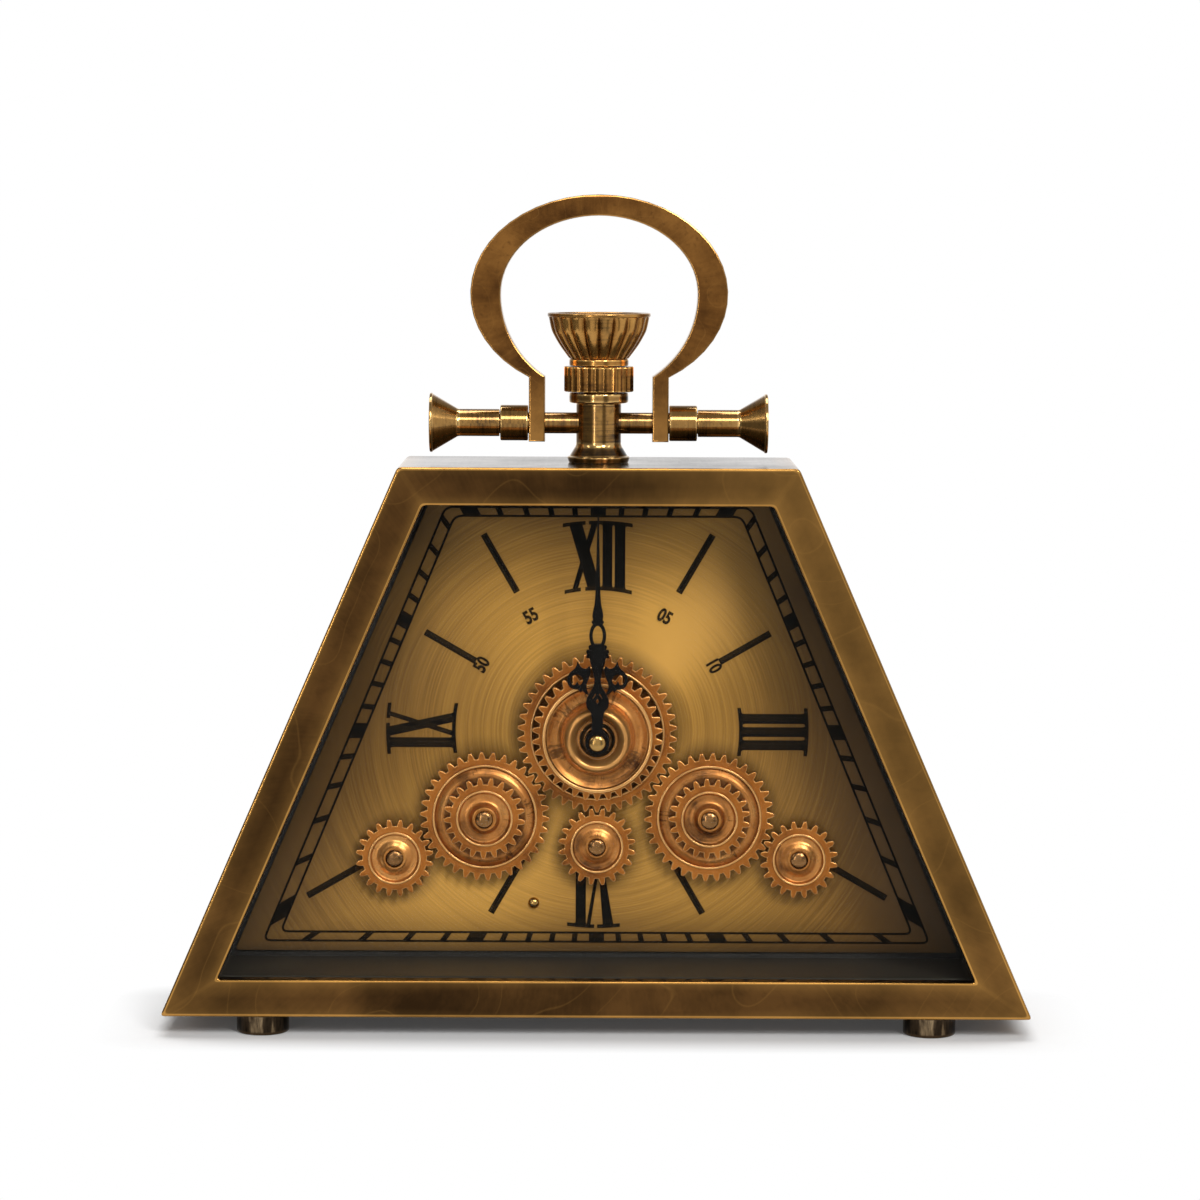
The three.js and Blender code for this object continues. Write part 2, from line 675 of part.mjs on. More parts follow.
// Setting knob and the movement's cell
const knobProfile = [
  [0, 0],
  [KNOB_RADIUS, 0],
  [KNOB_RADIUS, KNOB_HEIGHT],
  [KNOB_STEM_RADIUS, KNOB_HEIGHT],
  [KNOB_STEM_RADIUS, 2 * KNOB_HEIGHT],
  [0, 2 * KNOB_HEIGHT],
];
const knob = turnedToFront(knobProfile, PIN_ROUND);
place('setting_knob', knob, blackPlastic, centre.x, knobY, behindFront(boxRear));
const cellProfile = [
  [0, 0],
  [CELL_RADIUS, 0],
  [CELL_RADIUS, CELL_LENGTH],
  [CELL_BUTTON_RADIUS, CELL_LENGTH],
  [CELL_BUTTON_RADIUS, CELL_LENGTH + CELL_BUTTON_HEIGHT],
  [0, CELL_LENGTH + CELL_BUTTON_HEIGHT],
];
const cellStart = FIT - wellLength / 2;
const movementCell = turnedToRight(cellProfile, PIN_ROUND);
place('movement_cell', movementCell, cellWrap, centre.x + cellStart, movementCellY, cellZ);

// Hour tube and minute shaft, one inside the other, and the nut on the end of the shaft
const arborRear = boxDepth + ARBOR_DEPTH;
const hourTube = turnedToFront(tube(SHAFT_RADIUS + FIT, TUBE_RADIUS, arborRear - hourFront), PIN_ROUND);
place('hour_tube', hourTube, polishedBrass, centre.x, centre.y, behindFront(arborRear));
const shaftFront = nutRear - HAND_NUT_HEIGHT / 2;
const minuteShaft = turnedToFront(rod(SHAFT_RADIUS, arborRear - shaftFront), PIN_ROUND);
place('minute_shaft', minuteShaft, steel, centre.x, centre.y, behindFront(arborRear));
const nutBore = SHAFT_RADIUS + FIT;
const nutProfile = [
  [0, HAND_NUT_HEIGHT / 2 + FIT],
  [nutBore, HAND_NUT_HEIGHT / 2 + FIT],
  [nutBore, 0],
  [HAND_NUT_RADIUS, 0],
  ...domed(HAND_NUT_RADIUS, HAND_NUT_HEIGHT / 2, HAND_NUT_HEIGHT),
];
const handNut = turnedToFront(nutProfile, PIN_ROUND);
place('hand_nut', handNut, polishedBrass, centre.x, centre.y, behindFront(nutRear));

// Hands: each is a flat ornament of round and straight shapes, all of one thickness
function disc(x, y, radiusX, radiusY, hole = 0) {
  const shape = new THREE.Shape().absellipse(x, y, radiusX, radiusY, 0, 2 * Math.PI);
  if (hole > 0) {
    shape.holes.push(new THREE.Path().absellipse(x, y, radiusX - hole, radiusY - hole, 0, 2 * Math.PI));
  }
  return extruded(shape, HAND_THICKNESS, SCREW_ROUND / 2);
}

function polygon(points) {
  return extruded(new THREE.Shape(points.map(([x, y]) => new THREE.Vector2(x, y))), HAND_THICKNESS);
}

function bar(width, from, to, x = 0) {
  return polygon([[x - width / 2, from], [x + width / 2, from], [x + width / 2, to], [x - width / 2, to]]);
}

// Heights in a hand, from its hub to the widest place of its blade
const handCollarTop = HAND_COLLAR_HEIGHT + HAND_COLLAR_RISE / 2;
const crenelTop = handCollarTop + CRENEL_RISE;
const lyreCentre = crenelTop - LYRE_BAND + LYRE_RISE;
const bladeFoot = lyreCentre + LYRE_RISE - LYRE_BAND;
const spadeHeight = bladeFoot + SPADE_RISE;

// Blade from its foot through its widest place to the point
function blade(tip) {
  const shape = new THREE.Shape();
  const waist = Math.min(spadeHeight + SPADE_LENGTH, (spadeHeight + tip) / 2);
  const bend = (spadeHeight + waist) / 2;
  shape.moveTo(NEEDLE_WIDTH / 2, bladeFoot);
  shape.quadraticCurveTo(SPADE_WIDTH / 2, bladeFoot, SPADE_WIDTH / 2, spadeHeight);
  shape.quadraticCurveTo(NEEDLE_WIDTH / 2, bend, NEEDLE_WIDTH / 2, waist);
  shape.lineTo(0, tip);
  shape.lineTo(-NEEDLE_WIDTH / 2, waist);
  shape.quadraticCurveTo(-NEEDLE_WIDTH / 2, bend, -SPADE_WIDTH / 2, spadeHeight);
  shape.quadraticCurveTo(-SPADE_WIDTH / 2, bladeFoot, -NEEDLE_WIDTH / 2, bladeFoot);
  return extruded(shape, HAND_THICKNESS, BLADE_STEPS);
}

function scroll(side) {
  const x = side * SCROLL_SPREAD;
  const point = [
    [x - SCROLL_RADIUS / 2, SCROLL_HEIGHT],
    [x + SCROLL_RADIUS / 2, SCROLL_HEIGHT],
    [x, SCROLL_HEIGHT + SCROLL_TIP_RISE],
  ];
  const arm = [
    [0, BOSS_HEIGHT],
    [0, BOSS_HEIGHT + BOSS_RISE],
    [x, SCROLL_HEIGHT - SCROLL_RADIUS + STEM_WIDTH / 2],
    [x, SCROLL_HEIGHT - SCROLL_RADIUS],
  ];
  const eyed = join(disc(x, SCROLL_HEIGHT, SCROLL_RADIUS, SCROLL_RADIUS), polygon(point));
  const eye = disc(x, SCROLL_HEIGHT, SCROLL_EYE, SCROLL_EYE);
  return [cut(eyed, eye), polygon(side > 0 ? arm.toReversed() : arm)];
}

function hand(bore, tip, collarWidth, ornaments) {
  const crenel = collarWidth / (2 * CRENELS - 1);
  const crenels = Array.from({ length: CRENELS }, (_, i) => (
    bar(crenel, HAND_COLLAR_HEIGHT, crenelTop, (2 * i - CRENELS + 1) * crenel)
  ));
  const shapes = [
    disc(0, 0, HAND_HUB_RADIUS, HAND_HUB_RADIUS),
    bar(HAND_SHAFT_WIDTH, 0, BOSS_HEIGHT),
    disc(0, BOSS_HEIGHT, BOSS_WIDTH / 2, BOSS_RISE),
    bar(STEM_WIDTH, BOSS_HEIGHT, HAND_COLLAR_HEIGHT),
    bar(collarWidth, HAND_COLLAR_HEIGHT - HAND_COLLAR_RISE / 2, handCollarTop),
    ...crenels,
    disc(0, lyreCentre, LYRE_WIDTH / 2, LYRE_RISE, LYRE_BAND),
    blade(tip),
    ...ornaments,
  ];
  const eyeY = BOSS_HEIGHT + DIAMOND_ABOVE_BOSS;
  const eye = polygon([
    [0, eyeY - DIAMOND_RISE / 2],
    [DIAMOND_WIDTH / 2, eyeY],
    [0, eyeY + DIAMOND_RISE / 2],
    [-DIAMOND_WIDTH / 2, eyeY],
  ]);
  return cut(join(...shapes), disc(0, 0, bore, bore), eye);
}

const scrolls = [...scroll(-1), ...scroll(1)];
const hourHand = hand(TUBE_RADIUS + FIT, HOUR_HAND_LENGTH, HAND_COLLAR_WIDTH, scrolls);
place('hour_hand', hourHand, blackPaint, centre.x, centre.y, behindFront(hourRear));
const reachUp = caseTop - FRAME_WIDTH - centre.y;
const reachDown = centre.y - caseFoot - FRAME_WIDTH;
const minuteLength = Math.min(reachUp, reachDown) - MINUTE_HAND_END_GAP;
const minuteHand = hand(nutBore, minuteLength, HAND_COLLAR_WIDTH - STEM_WIDTH, []);
place('minute_hand', minuteHand, blackPaint, centre.x, centre.y, behindFront(minuteRear));

// Gear motor behind the left wheel, with an ear and a screw above and below
const motorX = left.x + MOTOR_ARBOR_TO_SIDE - MOTOR_WIDTH / 2;
const motorY = left.y - MOTOR_ARBOR_TO_FOOT + MOTOR_HEIGHT / 2;
const motorCellX = motorX - MOTOR_WIDTH / 2 + CELL_WALL + CELL_RADIUS + FIT;
const earRear = boxDepth + MOTOR_EAR_THICKNESS;
const earReach = MOTOR_HEIGHT / 2 + MOTOR_EAR_LENGTH / 2;
const ears = box(MOTOR_EAR_WIDTH, 2 * (earReach + MOTOR_EAR_LENGTH / 2), MOTOR_EAR_THICKNESS)
  .translate(motorX, motorY, behindFront(boxDepth + MOTOR_EAR_THICKNESS / 2));
const motorBox = box(MOTOR_WIDTH, MOTOR_HEIGHT, boxThickness).translate(motorX, motorY, boxMiddle);
const earHoles = [-1, 1].map((end) => (
  turnedToFront(rod(SCREW_RADIUS + FIT, MOTOR_EAR_THICKNESS + 2 * FIT), SCREW_ROUND)
    .translate(motorX, motorY + end * earReach, behindFront(earRear + FIT))
));
const motorCase = cut(
  join(motorBox, ears),
  frontPocket(pinBore, left.x, left.y),
  cellWell(wellWidth, wellLength, motorCellX, motorY),
  ...earHoles,
);
place('motor_case', motorCase, blackPlastic);
const motorCell = turned(cellProfile, PIN_ROUND);
place('motor_cell', motorCell, cellWrap, motorCellX, motorY + cellStart, cellZ);

// Dial and board, drilled for the bush, the arbor, the pins, the rivet and, in the board, the motor's screws
const rivetX = -RIVET_LEFT;
const rivetY = caseFoot + FRAME_WIDTH + DIAL_FOOT_GAP + RIVET_ABOVE_DIAL_FOOT;
const rivetShank = RIVET_RADIUS / 2;
const dialHoles = [
  { x: centre.x, y: centre.y, radius: BUSH_RADIUS },
  ...[left, right, bottom, farLeft, farRight].map(({ x, y }) => ({ x, y, radius: PIN_RADIUS })),
  { x: rivetX, y: rivetY, radius: rivetShank },
];
const motorScrewHoles = [-1, 1].map((end) => (
  { x: motorX, y: motorY + end * earReach, radius: SCREW_RADIUS }
));

function drilled(outline, thickness, holes) {
  const flatToCorner = 1 / Math.cos(Math.PI / SCREW_ROUND);
  for (const { x, y, radius } of holes) {
    outline.holes.push(new THREE.Path().absarc(x, y, (radius + FIT) * flatToCorner, 0, 2 * Math.PI));
  }
  return extruded(outline, thickness, SCREW_ROUND / 2);
}

const dialOutline = caseOutline(FRAME_WIDTH + DIAL_SIDE_GAP, CORNER_RADIUS, FRAME_WIDTH + DIAL_FOOT_GAP);
const boardOutline = caseOutline(FRAME_WIDTH - BOARD_MARGIN, CORNER_RADIUS);
const dial = drilled(dialOutline, DIAL_THICKNESS, dialHoles);
const board = drilled(boardOutline, BOARD_THICKNESS, [...dialHoles, ...motorScrewHoles]);
place('dial_plate', dial, dialBrass, 0, 0, behindFront(dialDepth + DIAL_THICKNESS));
place('mounting_board', board, blackPaint, 0, 0, behindFront(boardRear));
const rivetHead = boardRear - dialDepth + FIT;
const rivetProfile = [
  [0, 0],
  [rivetShank, 0],
  [rivetShank, rivetHead],
  ...domed(RIVET_RADIUS, rivetHead, rivetHead + RIVET_RISE),
];
place('dial_rivet', turnedToFront(rivetProfile, SCREW_ROUND), polishedBrass, rivetX, rivetY, pinZ);

// Screws, head to the rear
function screw(length) {
  return turnedToFront([
    [0, 0],
    [SCREW_HEAD_RADIUS, 0],
    [SCREW_HEAD_RADIUS, SCREW_HEAD_HEIGHT],
    [SCREW_RADIUS, SCREW_HEAD_HEIGHT],
    [SCREW_RADIUS, SCREW_HEAD_HEIGHT + length],
    [0, SCREW_HEAD_HEIGHT + length],
  ], SCREW_ROUND);
}

const motorScrewLength = MOTOR_EAR_THICKNESS + FIT + BOARD_THICKNESS;
const motorScrewZ = behindFront(earRear + FIT + SCREW_HEAD_HEIGHT);
place('motor_screw_low', screw(motorScrewLength), steel, motorX, motorY - earReach, motorScrewZ);
place('motor_screw_high', screw(motorScrewLength), steel, motorX, motorY + earReach, motorScrewZ);

// Rear cover with a window round each box, and its screws
function windowCut(width, height, x, y) {
  const gap = 2 * COVER_WINDOW_GAP;
  return box(width + gap, height + gap, 2 * COVER_THICKNESS).translate(x, y, COVER_THICKNESS / 2);
}

const coverHoles = lugPlaces.map(({ x, y }) => ({ x, y, radius: SCREW_RADIUS }));
const cover = cut(
  drilled(caseOutline(WALL + FIT, CORNER_RADIUS), COVER_THICKNESS, coverHoles),
  windowCut(MOVEMENT_SIZE, MOVEMENT_SIZE, centre.x, centre.y),
  windowCut(MOTOR_WIDTH, MOTOR_HEIGHT, motorX, motorY),
);
place('rear_cover', cover, antiqueBrass, 0, 0, behindFront(coverRear));
const screwNames = ['low_left', 'high_left', 'low_right', 'high_right'];
const coverScrewZ = behindFront(coverRear + FIT + SCREW_HEAD_HEIGHT);
lugPlaces.forEach(({ x, y }, i) => {
  place(`cover_screw_${screwNames[i]}`, screw(SCREW_LENGTH), steel, x, y, coverScrewZ);
});

// Stem post with a cross hole, and its nut under the top wall
const collarFoot = AXIS_ABOVE_TOP + POST_COLLAR_ABOVE_AXIS;
const collarTop = collarFoot + POST_COLLAR_HEIGHT;
const spigotTop = collarTop + FIT + RING_HEIGHT + FIT + SPIGOT_IN_CUP;
const studEnd = -WALL - FIT - STEM_NUT_HEIGHT;
const postProfile = [
  [0, studEnd],
  [STEM_STUD_RADIUS, studEnd],
  [STEM_STUD_RADIUS, FIT],
  [POST_FLANGE_RADIUS, FIT],
  [POST_FLANGE_RADIUS, POST_FLANGE_EDGE],
  [(POST_FLANGE_RADIUS + POST_RADIUS) / 2, 2 * POST_FLANGE_EDGE],
  [POST_RADIUS, POST_FLANGE_HEIGHT],
  [POST_RADIUS, collarFoot],
  [POST_COLLAR_RADIUS, collarFoot],
  [POST_COLLAR_RADIUS, collarTop],
  [SPIGOT_RADIUS, collarTop],
  [SPIGOT_RADIUS, spigotTop],
  [0, spigotTop],
];
const barBore = BAR_RADIUS + FIT;
const crossDrill = turnedToRight(rod(barBore, 4 * POST_RADIUS), PIN_ROUND);
const crossHole = crossDrill.translate(-2 * POST_RADIUS, AXIS_ABOVE_TOP, 0);
place('stem_post', cut(turned(postProfile), crossHole), antiqueBrass, 0, caseTop, 0);
const stemNut = hexNut(STEM_NUT_RADIUS, STEM_STUD_RADIUS + FIT, STEM_NUT_HEIGHT).rotateX(-Math.PI / 2);
place('stem_nut', stemNut, steel, 0, caseTop - WALL - FIT - STEM_NUT_HEIGHT, 0);

// Draws the surface in towards the axis between ribs, on the profile points from first to last
function ribbed(geometry, pointCount, first, last, depthAt) {
  const position = geometry.attributes.position;
  for (let i = 0; i < position.count; i += 1) {
    const row = i % pointCount;
    if (row >= first && row <= last) {
      const x = position.getX(i);
      const z = position.getZ(i);
      const radius = Math.hypot(x, z);
      const scale = (radius - depthAt(Math.floor(i / pointCount))) / radius;
      position.setX(i, x * scale);
      position.setZ(i, z * scale);
    }
  }
  return geometry;
}

// Ribbed crown ring on the collar of the post
const spigotBore = SPIGOT_RADIUS + FIT;
const ringProfile = [
  [spigotBore, 0],
  [RING_RADIUS, 0],
  [RING_RADIUS, RING_HEIGHT],
  [spigotBore, RING_HEIGHT],
  [spigotBore, 0],
];
const [ringFoot, ringTop] = [1, 2];
const ribAt = (step) => (step % 2) * RIB_DEPTH;
const crownRing = ribbed(turned(ringProfile, 2 * RING_RIBS), ringProfile.length, ringFoot, ringTop, ribAt);
place('crown_ring', crownRing, antiqueBrass, 0, caseTop + collarTop + FIT, 0);

// Fluted crown cup, a bell that widens evenly from its neck to a plain rim
const bellTop = CUP_NECK_HEIGHT + CUP_BELL_HEIGHT;
const cupTop = bellTop + CUP_RIM_HEIGHT;
const neck = [
  [0, SPIGOT_IN_CUP + FIT],
  [spigotBore, SPIGOT_IN_CUP + FIT],
  [spigotBore, 0],
  [CUP_NECK_RADIUS, 0],
  [CUP_NECK_RADIUS, CUP_NECK_HEIGHT],
];
const bell = [
  [CUP_FOOT_RADIUS, CUP_NECK_HEIGHT],
  [CUP_RADIUS, bellTop],
];
const cupProfile = [
  ...neck,
  ...bell,
  [CUP_RADIUS, cupTop],
  [CUP_RADIUS - CUP_RIM_WALL, cupTop],
  [CUP_RADIUS - CUP_RIM_WALL, cupTop - CUP_RECESS_DEPTH],
  [0, cupTop - CUP_RECESS_DEPTH],
];
const fluteAt = (step) => FLUTE_DEPTH * (1 - Math.abs(Math.sin(Math.PI * step / FLUTE_STEPS)));
const cup = ribbed(
  turned(cupProfile, FLUTE_STEPS * FLUTES),
  cupProfile.length,
  neck.length,
  neck.length + bell.length - 1,
  fluteAt,
);
place('crown_cup', cup, antiqueBrass, 0, caseTop + collarTop + FIT + RING_HEIGHT + FIT, 0);

// Cross bar, sleeves and trumpet ends
const axisY = caseTop + AXIS_ABOVE_TOP;
const legOuter = LEG_INNER + LEG_WIDTH;
const sleeveStart = legOuter + FIT;
const barEndStart = sleeveStart + SLEEVE_LENGTH + FIT;
const barReach = barEndStart + BAR_END_SOCKET - FIT;
const crossBar = turnedToRight(rod(BAR_RADIUS, 2 * barReach), PIN_ROUND);
place('cross_bar', crossBar, antiqueBrass, -barReach, axisY, 0);
const barEndLength = BAR_END_SHANK_LENGTH + BAR_END_CONE_LENGTH;
const barEndProfile = [
  [0, BAR_END_SOCKET],
  [barBore, BAR_END_SOCKET],
  [barBore, 0],
  [BAR_END_SHANK_RADIUS, 0],
  [BAR_END_SHANK_RADIUS, BAR_END_SHANK_LENGTH],
  [BAR_END_RIM_RADIUS, barEndLength - BAR_END_RIM_WIDTH],
  [BAR_END_RIM_RADIUS, barEndLength],
  [0, barEndLength],
];
const sleeve = tube(barBore, SLEEVE_RADIUS, SLEEVE_LENGTH);
for (const [name, side] of [['left', -1], ['right', 1]]) {
  const facing = side > 0 ? 0 : Math.PI;
  const sleevePiece = turnedToRight(sleeve, PIN_ROUND).rotateY(facing);
  const endPiece = turnedToRight(barEndProfile).rotateY(facing);
  place(`sleeve_${name}`, sleevePiece, antiqueBrass, side * sleeveStart, axisY, 0);
  place(`bar_end_${name}`, endPiece, antiqueBrass, side * barEndStart, axisY, 0);
}

// Bow handle, an oval loop on two legs that are bored for the cross bar
function bowShape() {
  const innerHalfWidth = BOW_HALF_WIDTH - BOW_SIDE_BAND;
  const innerRise = BOW_RISE - BOW_TOP_BAND;
  const outerTurn = Math.acos(legOuter / BOW_HALF_WIDTH);
  const innerTurn = Math.acos(LEG_INNER / innerHalfWidth);
  const shape = new THREE.Shape();
  const y = BOW_CENTRE_ABOVE_AXIS;
  shape.moveTo(legOuter, -LEG_BELOW_AXIS);
  shape.absellipse(0, y, BOW_HALF_WIDTH, BOW_RISE, -outerTurn, Math.PI + outerTurn, false);
  shape.lineTo(-legOuter, -LEG_BELOW_AXIS);
  shape.lineTo(-LEG_INNER, -LEG_BELOW_AXIS);
  shape.absellipse(0, y, innerHalfWidth, BOW_LOWER_INNER_RISE, Math.PI + innerTurn, Math.PI, true);
  shape.absellipse(0, y, innerHalfWidth, innerRise, Math.PI, 0, true);
  shape.absellipse(0, y, innerHalfWidth, BOW_LOWER_INNER_RISE, 0, -innerTurn, true);
  shape.lineTo(LEG_INNER, -LEG_BELOW_AXIS);
  shape.closePath();
  return shape;
}

const bowBlank = extruded(bowShape(), BOW_DEPTH, ROUND / 2).translate(0, 0, -BOW_DEPTH / 2);
const legBore = turnedToRight(rod(barBore, 2 * BOW_HALF_WIDTH), PIN_ROUND).translate(-BOW_HALF_WIDTH, 0, 0);
place('bow_handle', cut(bowBlank, legBore), antiqueBrass, 0, axisY, 0);

const clock = new THREE.Group();
clock.add(upright);
export default clock;
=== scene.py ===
import json
import math

import bpy
from mathutils import Matrix, Vector


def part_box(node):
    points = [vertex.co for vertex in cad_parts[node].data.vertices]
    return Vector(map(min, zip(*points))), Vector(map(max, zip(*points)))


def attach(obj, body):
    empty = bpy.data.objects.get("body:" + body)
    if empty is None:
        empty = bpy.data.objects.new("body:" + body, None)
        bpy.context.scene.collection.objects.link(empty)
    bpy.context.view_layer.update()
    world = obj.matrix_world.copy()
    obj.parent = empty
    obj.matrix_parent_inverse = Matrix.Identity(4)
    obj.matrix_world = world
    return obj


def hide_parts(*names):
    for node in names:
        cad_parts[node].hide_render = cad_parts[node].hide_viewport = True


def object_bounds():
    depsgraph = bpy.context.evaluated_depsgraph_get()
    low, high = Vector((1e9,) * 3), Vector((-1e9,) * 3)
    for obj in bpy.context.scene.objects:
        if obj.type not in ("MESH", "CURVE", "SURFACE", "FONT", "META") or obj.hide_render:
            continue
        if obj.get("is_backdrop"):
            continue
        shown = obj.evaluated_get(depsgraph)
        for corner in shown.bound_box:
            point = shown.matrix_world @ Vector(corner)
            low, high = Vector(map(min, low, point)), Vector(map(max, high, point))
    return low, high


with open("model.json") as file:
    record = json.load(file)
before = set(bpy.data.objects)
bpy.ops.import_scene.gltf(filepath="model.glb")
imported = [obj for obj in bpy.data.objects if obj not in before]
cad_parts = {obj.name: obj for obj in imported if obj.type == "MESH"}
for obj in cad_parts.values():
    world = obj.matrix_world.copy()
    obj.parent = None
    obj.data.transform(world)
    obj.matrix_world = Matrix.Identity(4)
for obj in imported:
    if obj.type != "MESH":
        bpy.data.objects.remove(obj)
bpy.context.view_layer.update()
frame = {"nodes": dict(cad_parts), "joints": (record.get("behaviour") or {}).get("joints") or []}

# Case: a deep trapezoid sleeve of sheet brass with a mitred front frame and an inner lip for the glass.
# Its sides are bent up and welded at the corners, then aged dark brown and rubbed bright on the edges.
# Its right bar is painted brighter, a painted highlight, and its bottom bar darker, a painted shade.
MM = 0.001
case_low, case_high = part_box("case_shell")
depth_of_case = case_high.y - case_low.y
BASE_HALF = 165 * MM
TOP_HALF = 75 * MM
case_slope = (BASE_HALF - TOP_HALF) / (case_high.z - case_low.z)
WALL = 2 * MM
FRAME_WIDTH = 14.2 * MM
FRAME_THICKNESS = 2 * MM
LIP_THICKNESS = 1.6 * MM
LIP_DEPTH = 6 * MM
CORNER_RADIUS = 1.6 * MM
EDGE_ROUNDING = 0.8 * MM
INNER_EDGE_ROUNDING = 0.6 * MM
FOLD_ROUNDING = 0.3 * MM
FACE_DEPTH = 0.01 * MM
ROUND_STEPS = 4
ROUND_SHARE = 0.4
FADE_WIDTH = 1.6
FADE_SHARE = 0.47
BAR_FADE = 0.05
EDGE_RUB = 0.75
FOLD_RUB = (0.7, 0.7, 0.4)
MITRE_RUB = 0.12
# Painted light per corner (left foot, right foot, right top, left top): the right top corner is a painted
# highlight.
PAINTED_CORNER_LIGHT = (0.05, 0.07, 0.3, -0.04)
# Painted light per bar (bottom, right, top, left): the right bar is a painted highlight, the bottom bar a
# painted shade.
PAINTED_BAR_LIGHT = (-0.1, 0.3, -0.02, 0.0)
INNER_RUB = 0.22
OUTER_RUB = 0.14
TINT_STOPS = (0.38, 0.5, 0.64)
CLOUD_RANGE = (0.35, 0.65)
PATCH_RUB = (0.65, 1.15)
SPECK_RANGE = (0.56, 0.75)
SPECK_FINENESS = 12
HOLLOW_DARKENING_COVER = 0.92
RUB_POLISH = 0.7
BRUSH_DEPTH = 0.04 * MM
HAIRLINE_TURNS = 14
HAIRLINE_WIDTH = 0.025
SHARP_ANGLE = math.radians(38)


def past_corner(before, here, after, reach, t):
    """A point on the round past a corner, from 0 on the side before it to 1 on the side after it."""
    start = here + (before - here).normalized() * reach
    end = here + (after - here).normalized() * reach
    return start * (1 - t) ** 2 + here * 2 * t * (1 - t) + end * t ** 2


def softened(corners, closed=False):
    """A profile of (across, up, rub) points: each corner is rounded by its own radius and rubbed there."""
    points = []
    for i, (across, up, radius) in enumerate(corners):
        if radius == 0 or (not closed and i in (0, len(corners) - 1)):
            points.append((across, up, 0.0))
            continue
        here = Vector((across, up))
        ends = [Vector(corners[i - 1][:2]), Vector(corners[(i + 1) % len(corners)][:2])]
        sides = [(end - here).length for end in ends]
        reach = min(radius, ROUND_SHARE * min(sides))
        fades = [here + (end - here).normalized() * min(FADE_WIDTH * reach, FADE_SHARE * side)
                 for end, side in zip(ends, sides)]
        bends = [past_corner(ends[0], here, ends[1], reach, step / ROUND_STEPS)
                 for step in range(ROUND_STEPS + 1)]
        points += [(*fades[0], 0.0)] + [(*bend, 1.0) for bend in bends] + [(*fades[1], 0.0)]
    return points


def tone(red, green, blue):
    """A colour given in screen values."""
    shares = [value / 255 for value in (red, green, blue)]
    return (*(s / 12.92 if s <= 0.04045 else ((s + 0.055) / 1.055) ** 2.4 for s in shares), 1)


def fill(tree, node, inputs):
    """Fills the sockets of a node with values or links."""
    for key, value in inputs.items():
        if isinstance(value, bpy.types.NodeSocket):
            tree.links.new(value, node.inputs[key])
        else:
            node.inputs[key].default_value = value
    return node


def add(tree, kind, inputs=None, **settings):
    """Adds a shader node with its settings and fills its sockets."""
    made = tree.nodes.new(kind)
    for key, value in settings.items():
        setattr(made, key, value)
    return fill(tree, made, inputs or {})


def reckon(tree, operation, *values, **settings):
    """The result of one step of arithmetic on values or links."""
    made = add(tree, "ShaderNodeMath", dict(enumerate(values)), operation=operation, **settings)
    return made.outputs["Value"]


def mottle(tree, place, scale, detail, roughness=0.5):
    """Soft random spots between 0 and 1."""
    inputs = {"Vector": place, "Scale": scale, "Detail": detail, "Roughness": roughness}
    return add(tree, "ShaderNodeTexNoise", inputs).outputs["Fac"]


def own_place(tree):
    """The place on the piece itself."""
    return add(tree, "ShaderNodeTexCoord").outputs["Object"]


def brush_place(tree, along, across):
    """The place along and across the brush lines of a piece."""
    grain = add(tree, "ShaderNodeUVMap", uv_map="grain").outputs["UV"]
    return add(tree, "ShaderNodeMapping", {"Vector": grain, "Scale": (along, across, 1)}).outputs["Vector"]


def ramp(tree, factor, stops):
    """A colour ramp through (place, colour) stops."""
    made = add(tree, "ShaderNodeValToRGB", {"Fac": factor})
    bands = made.color_ramp.elements
    while len(bands) < len(stops):
        bands.new(0.5)
    for band, (place, colour) in zip(bands, stops):
        band.position = place
        band.color = colour
    return made.outputs["Color"]


def spread(tree, value, low, high, low_to, high_to):
    """A value moved from one range to another, without going past its ends."""
    inputs = {"Value": value, "From Min": low, "From Max": high, "To Min": low_to, "To Max": high_to}
    return add(tree, "ShaderNodeMapRange", inputs).outputs["Result"]


def blend(tree, share, first, second):
    """A colour between two others, by the colour sockets of a mix node: 6 and 7 in, 2 out."""
    return add(tree, "ShaderNodeMix", {0: share, 6: first, 7: second}, data_type="RGBA").outputs[2]


def bumped(tree, height, strength, distance):
    """The lie of a surface that a pattern roughens."""
    inputs = {"Height": height, "Strength": strength, "Distance": distance}
    return add(tree, "ShaderNodeBump", inputs).outputs["Normal"]


def new_finish(name):
    """A new material with its tree and its main shader."""
    material = bpy.data.materials.new(name)
    material.use_nodes = True
    return material, material.node_tree, material.node_tree.nodes["Principled BSDF"]


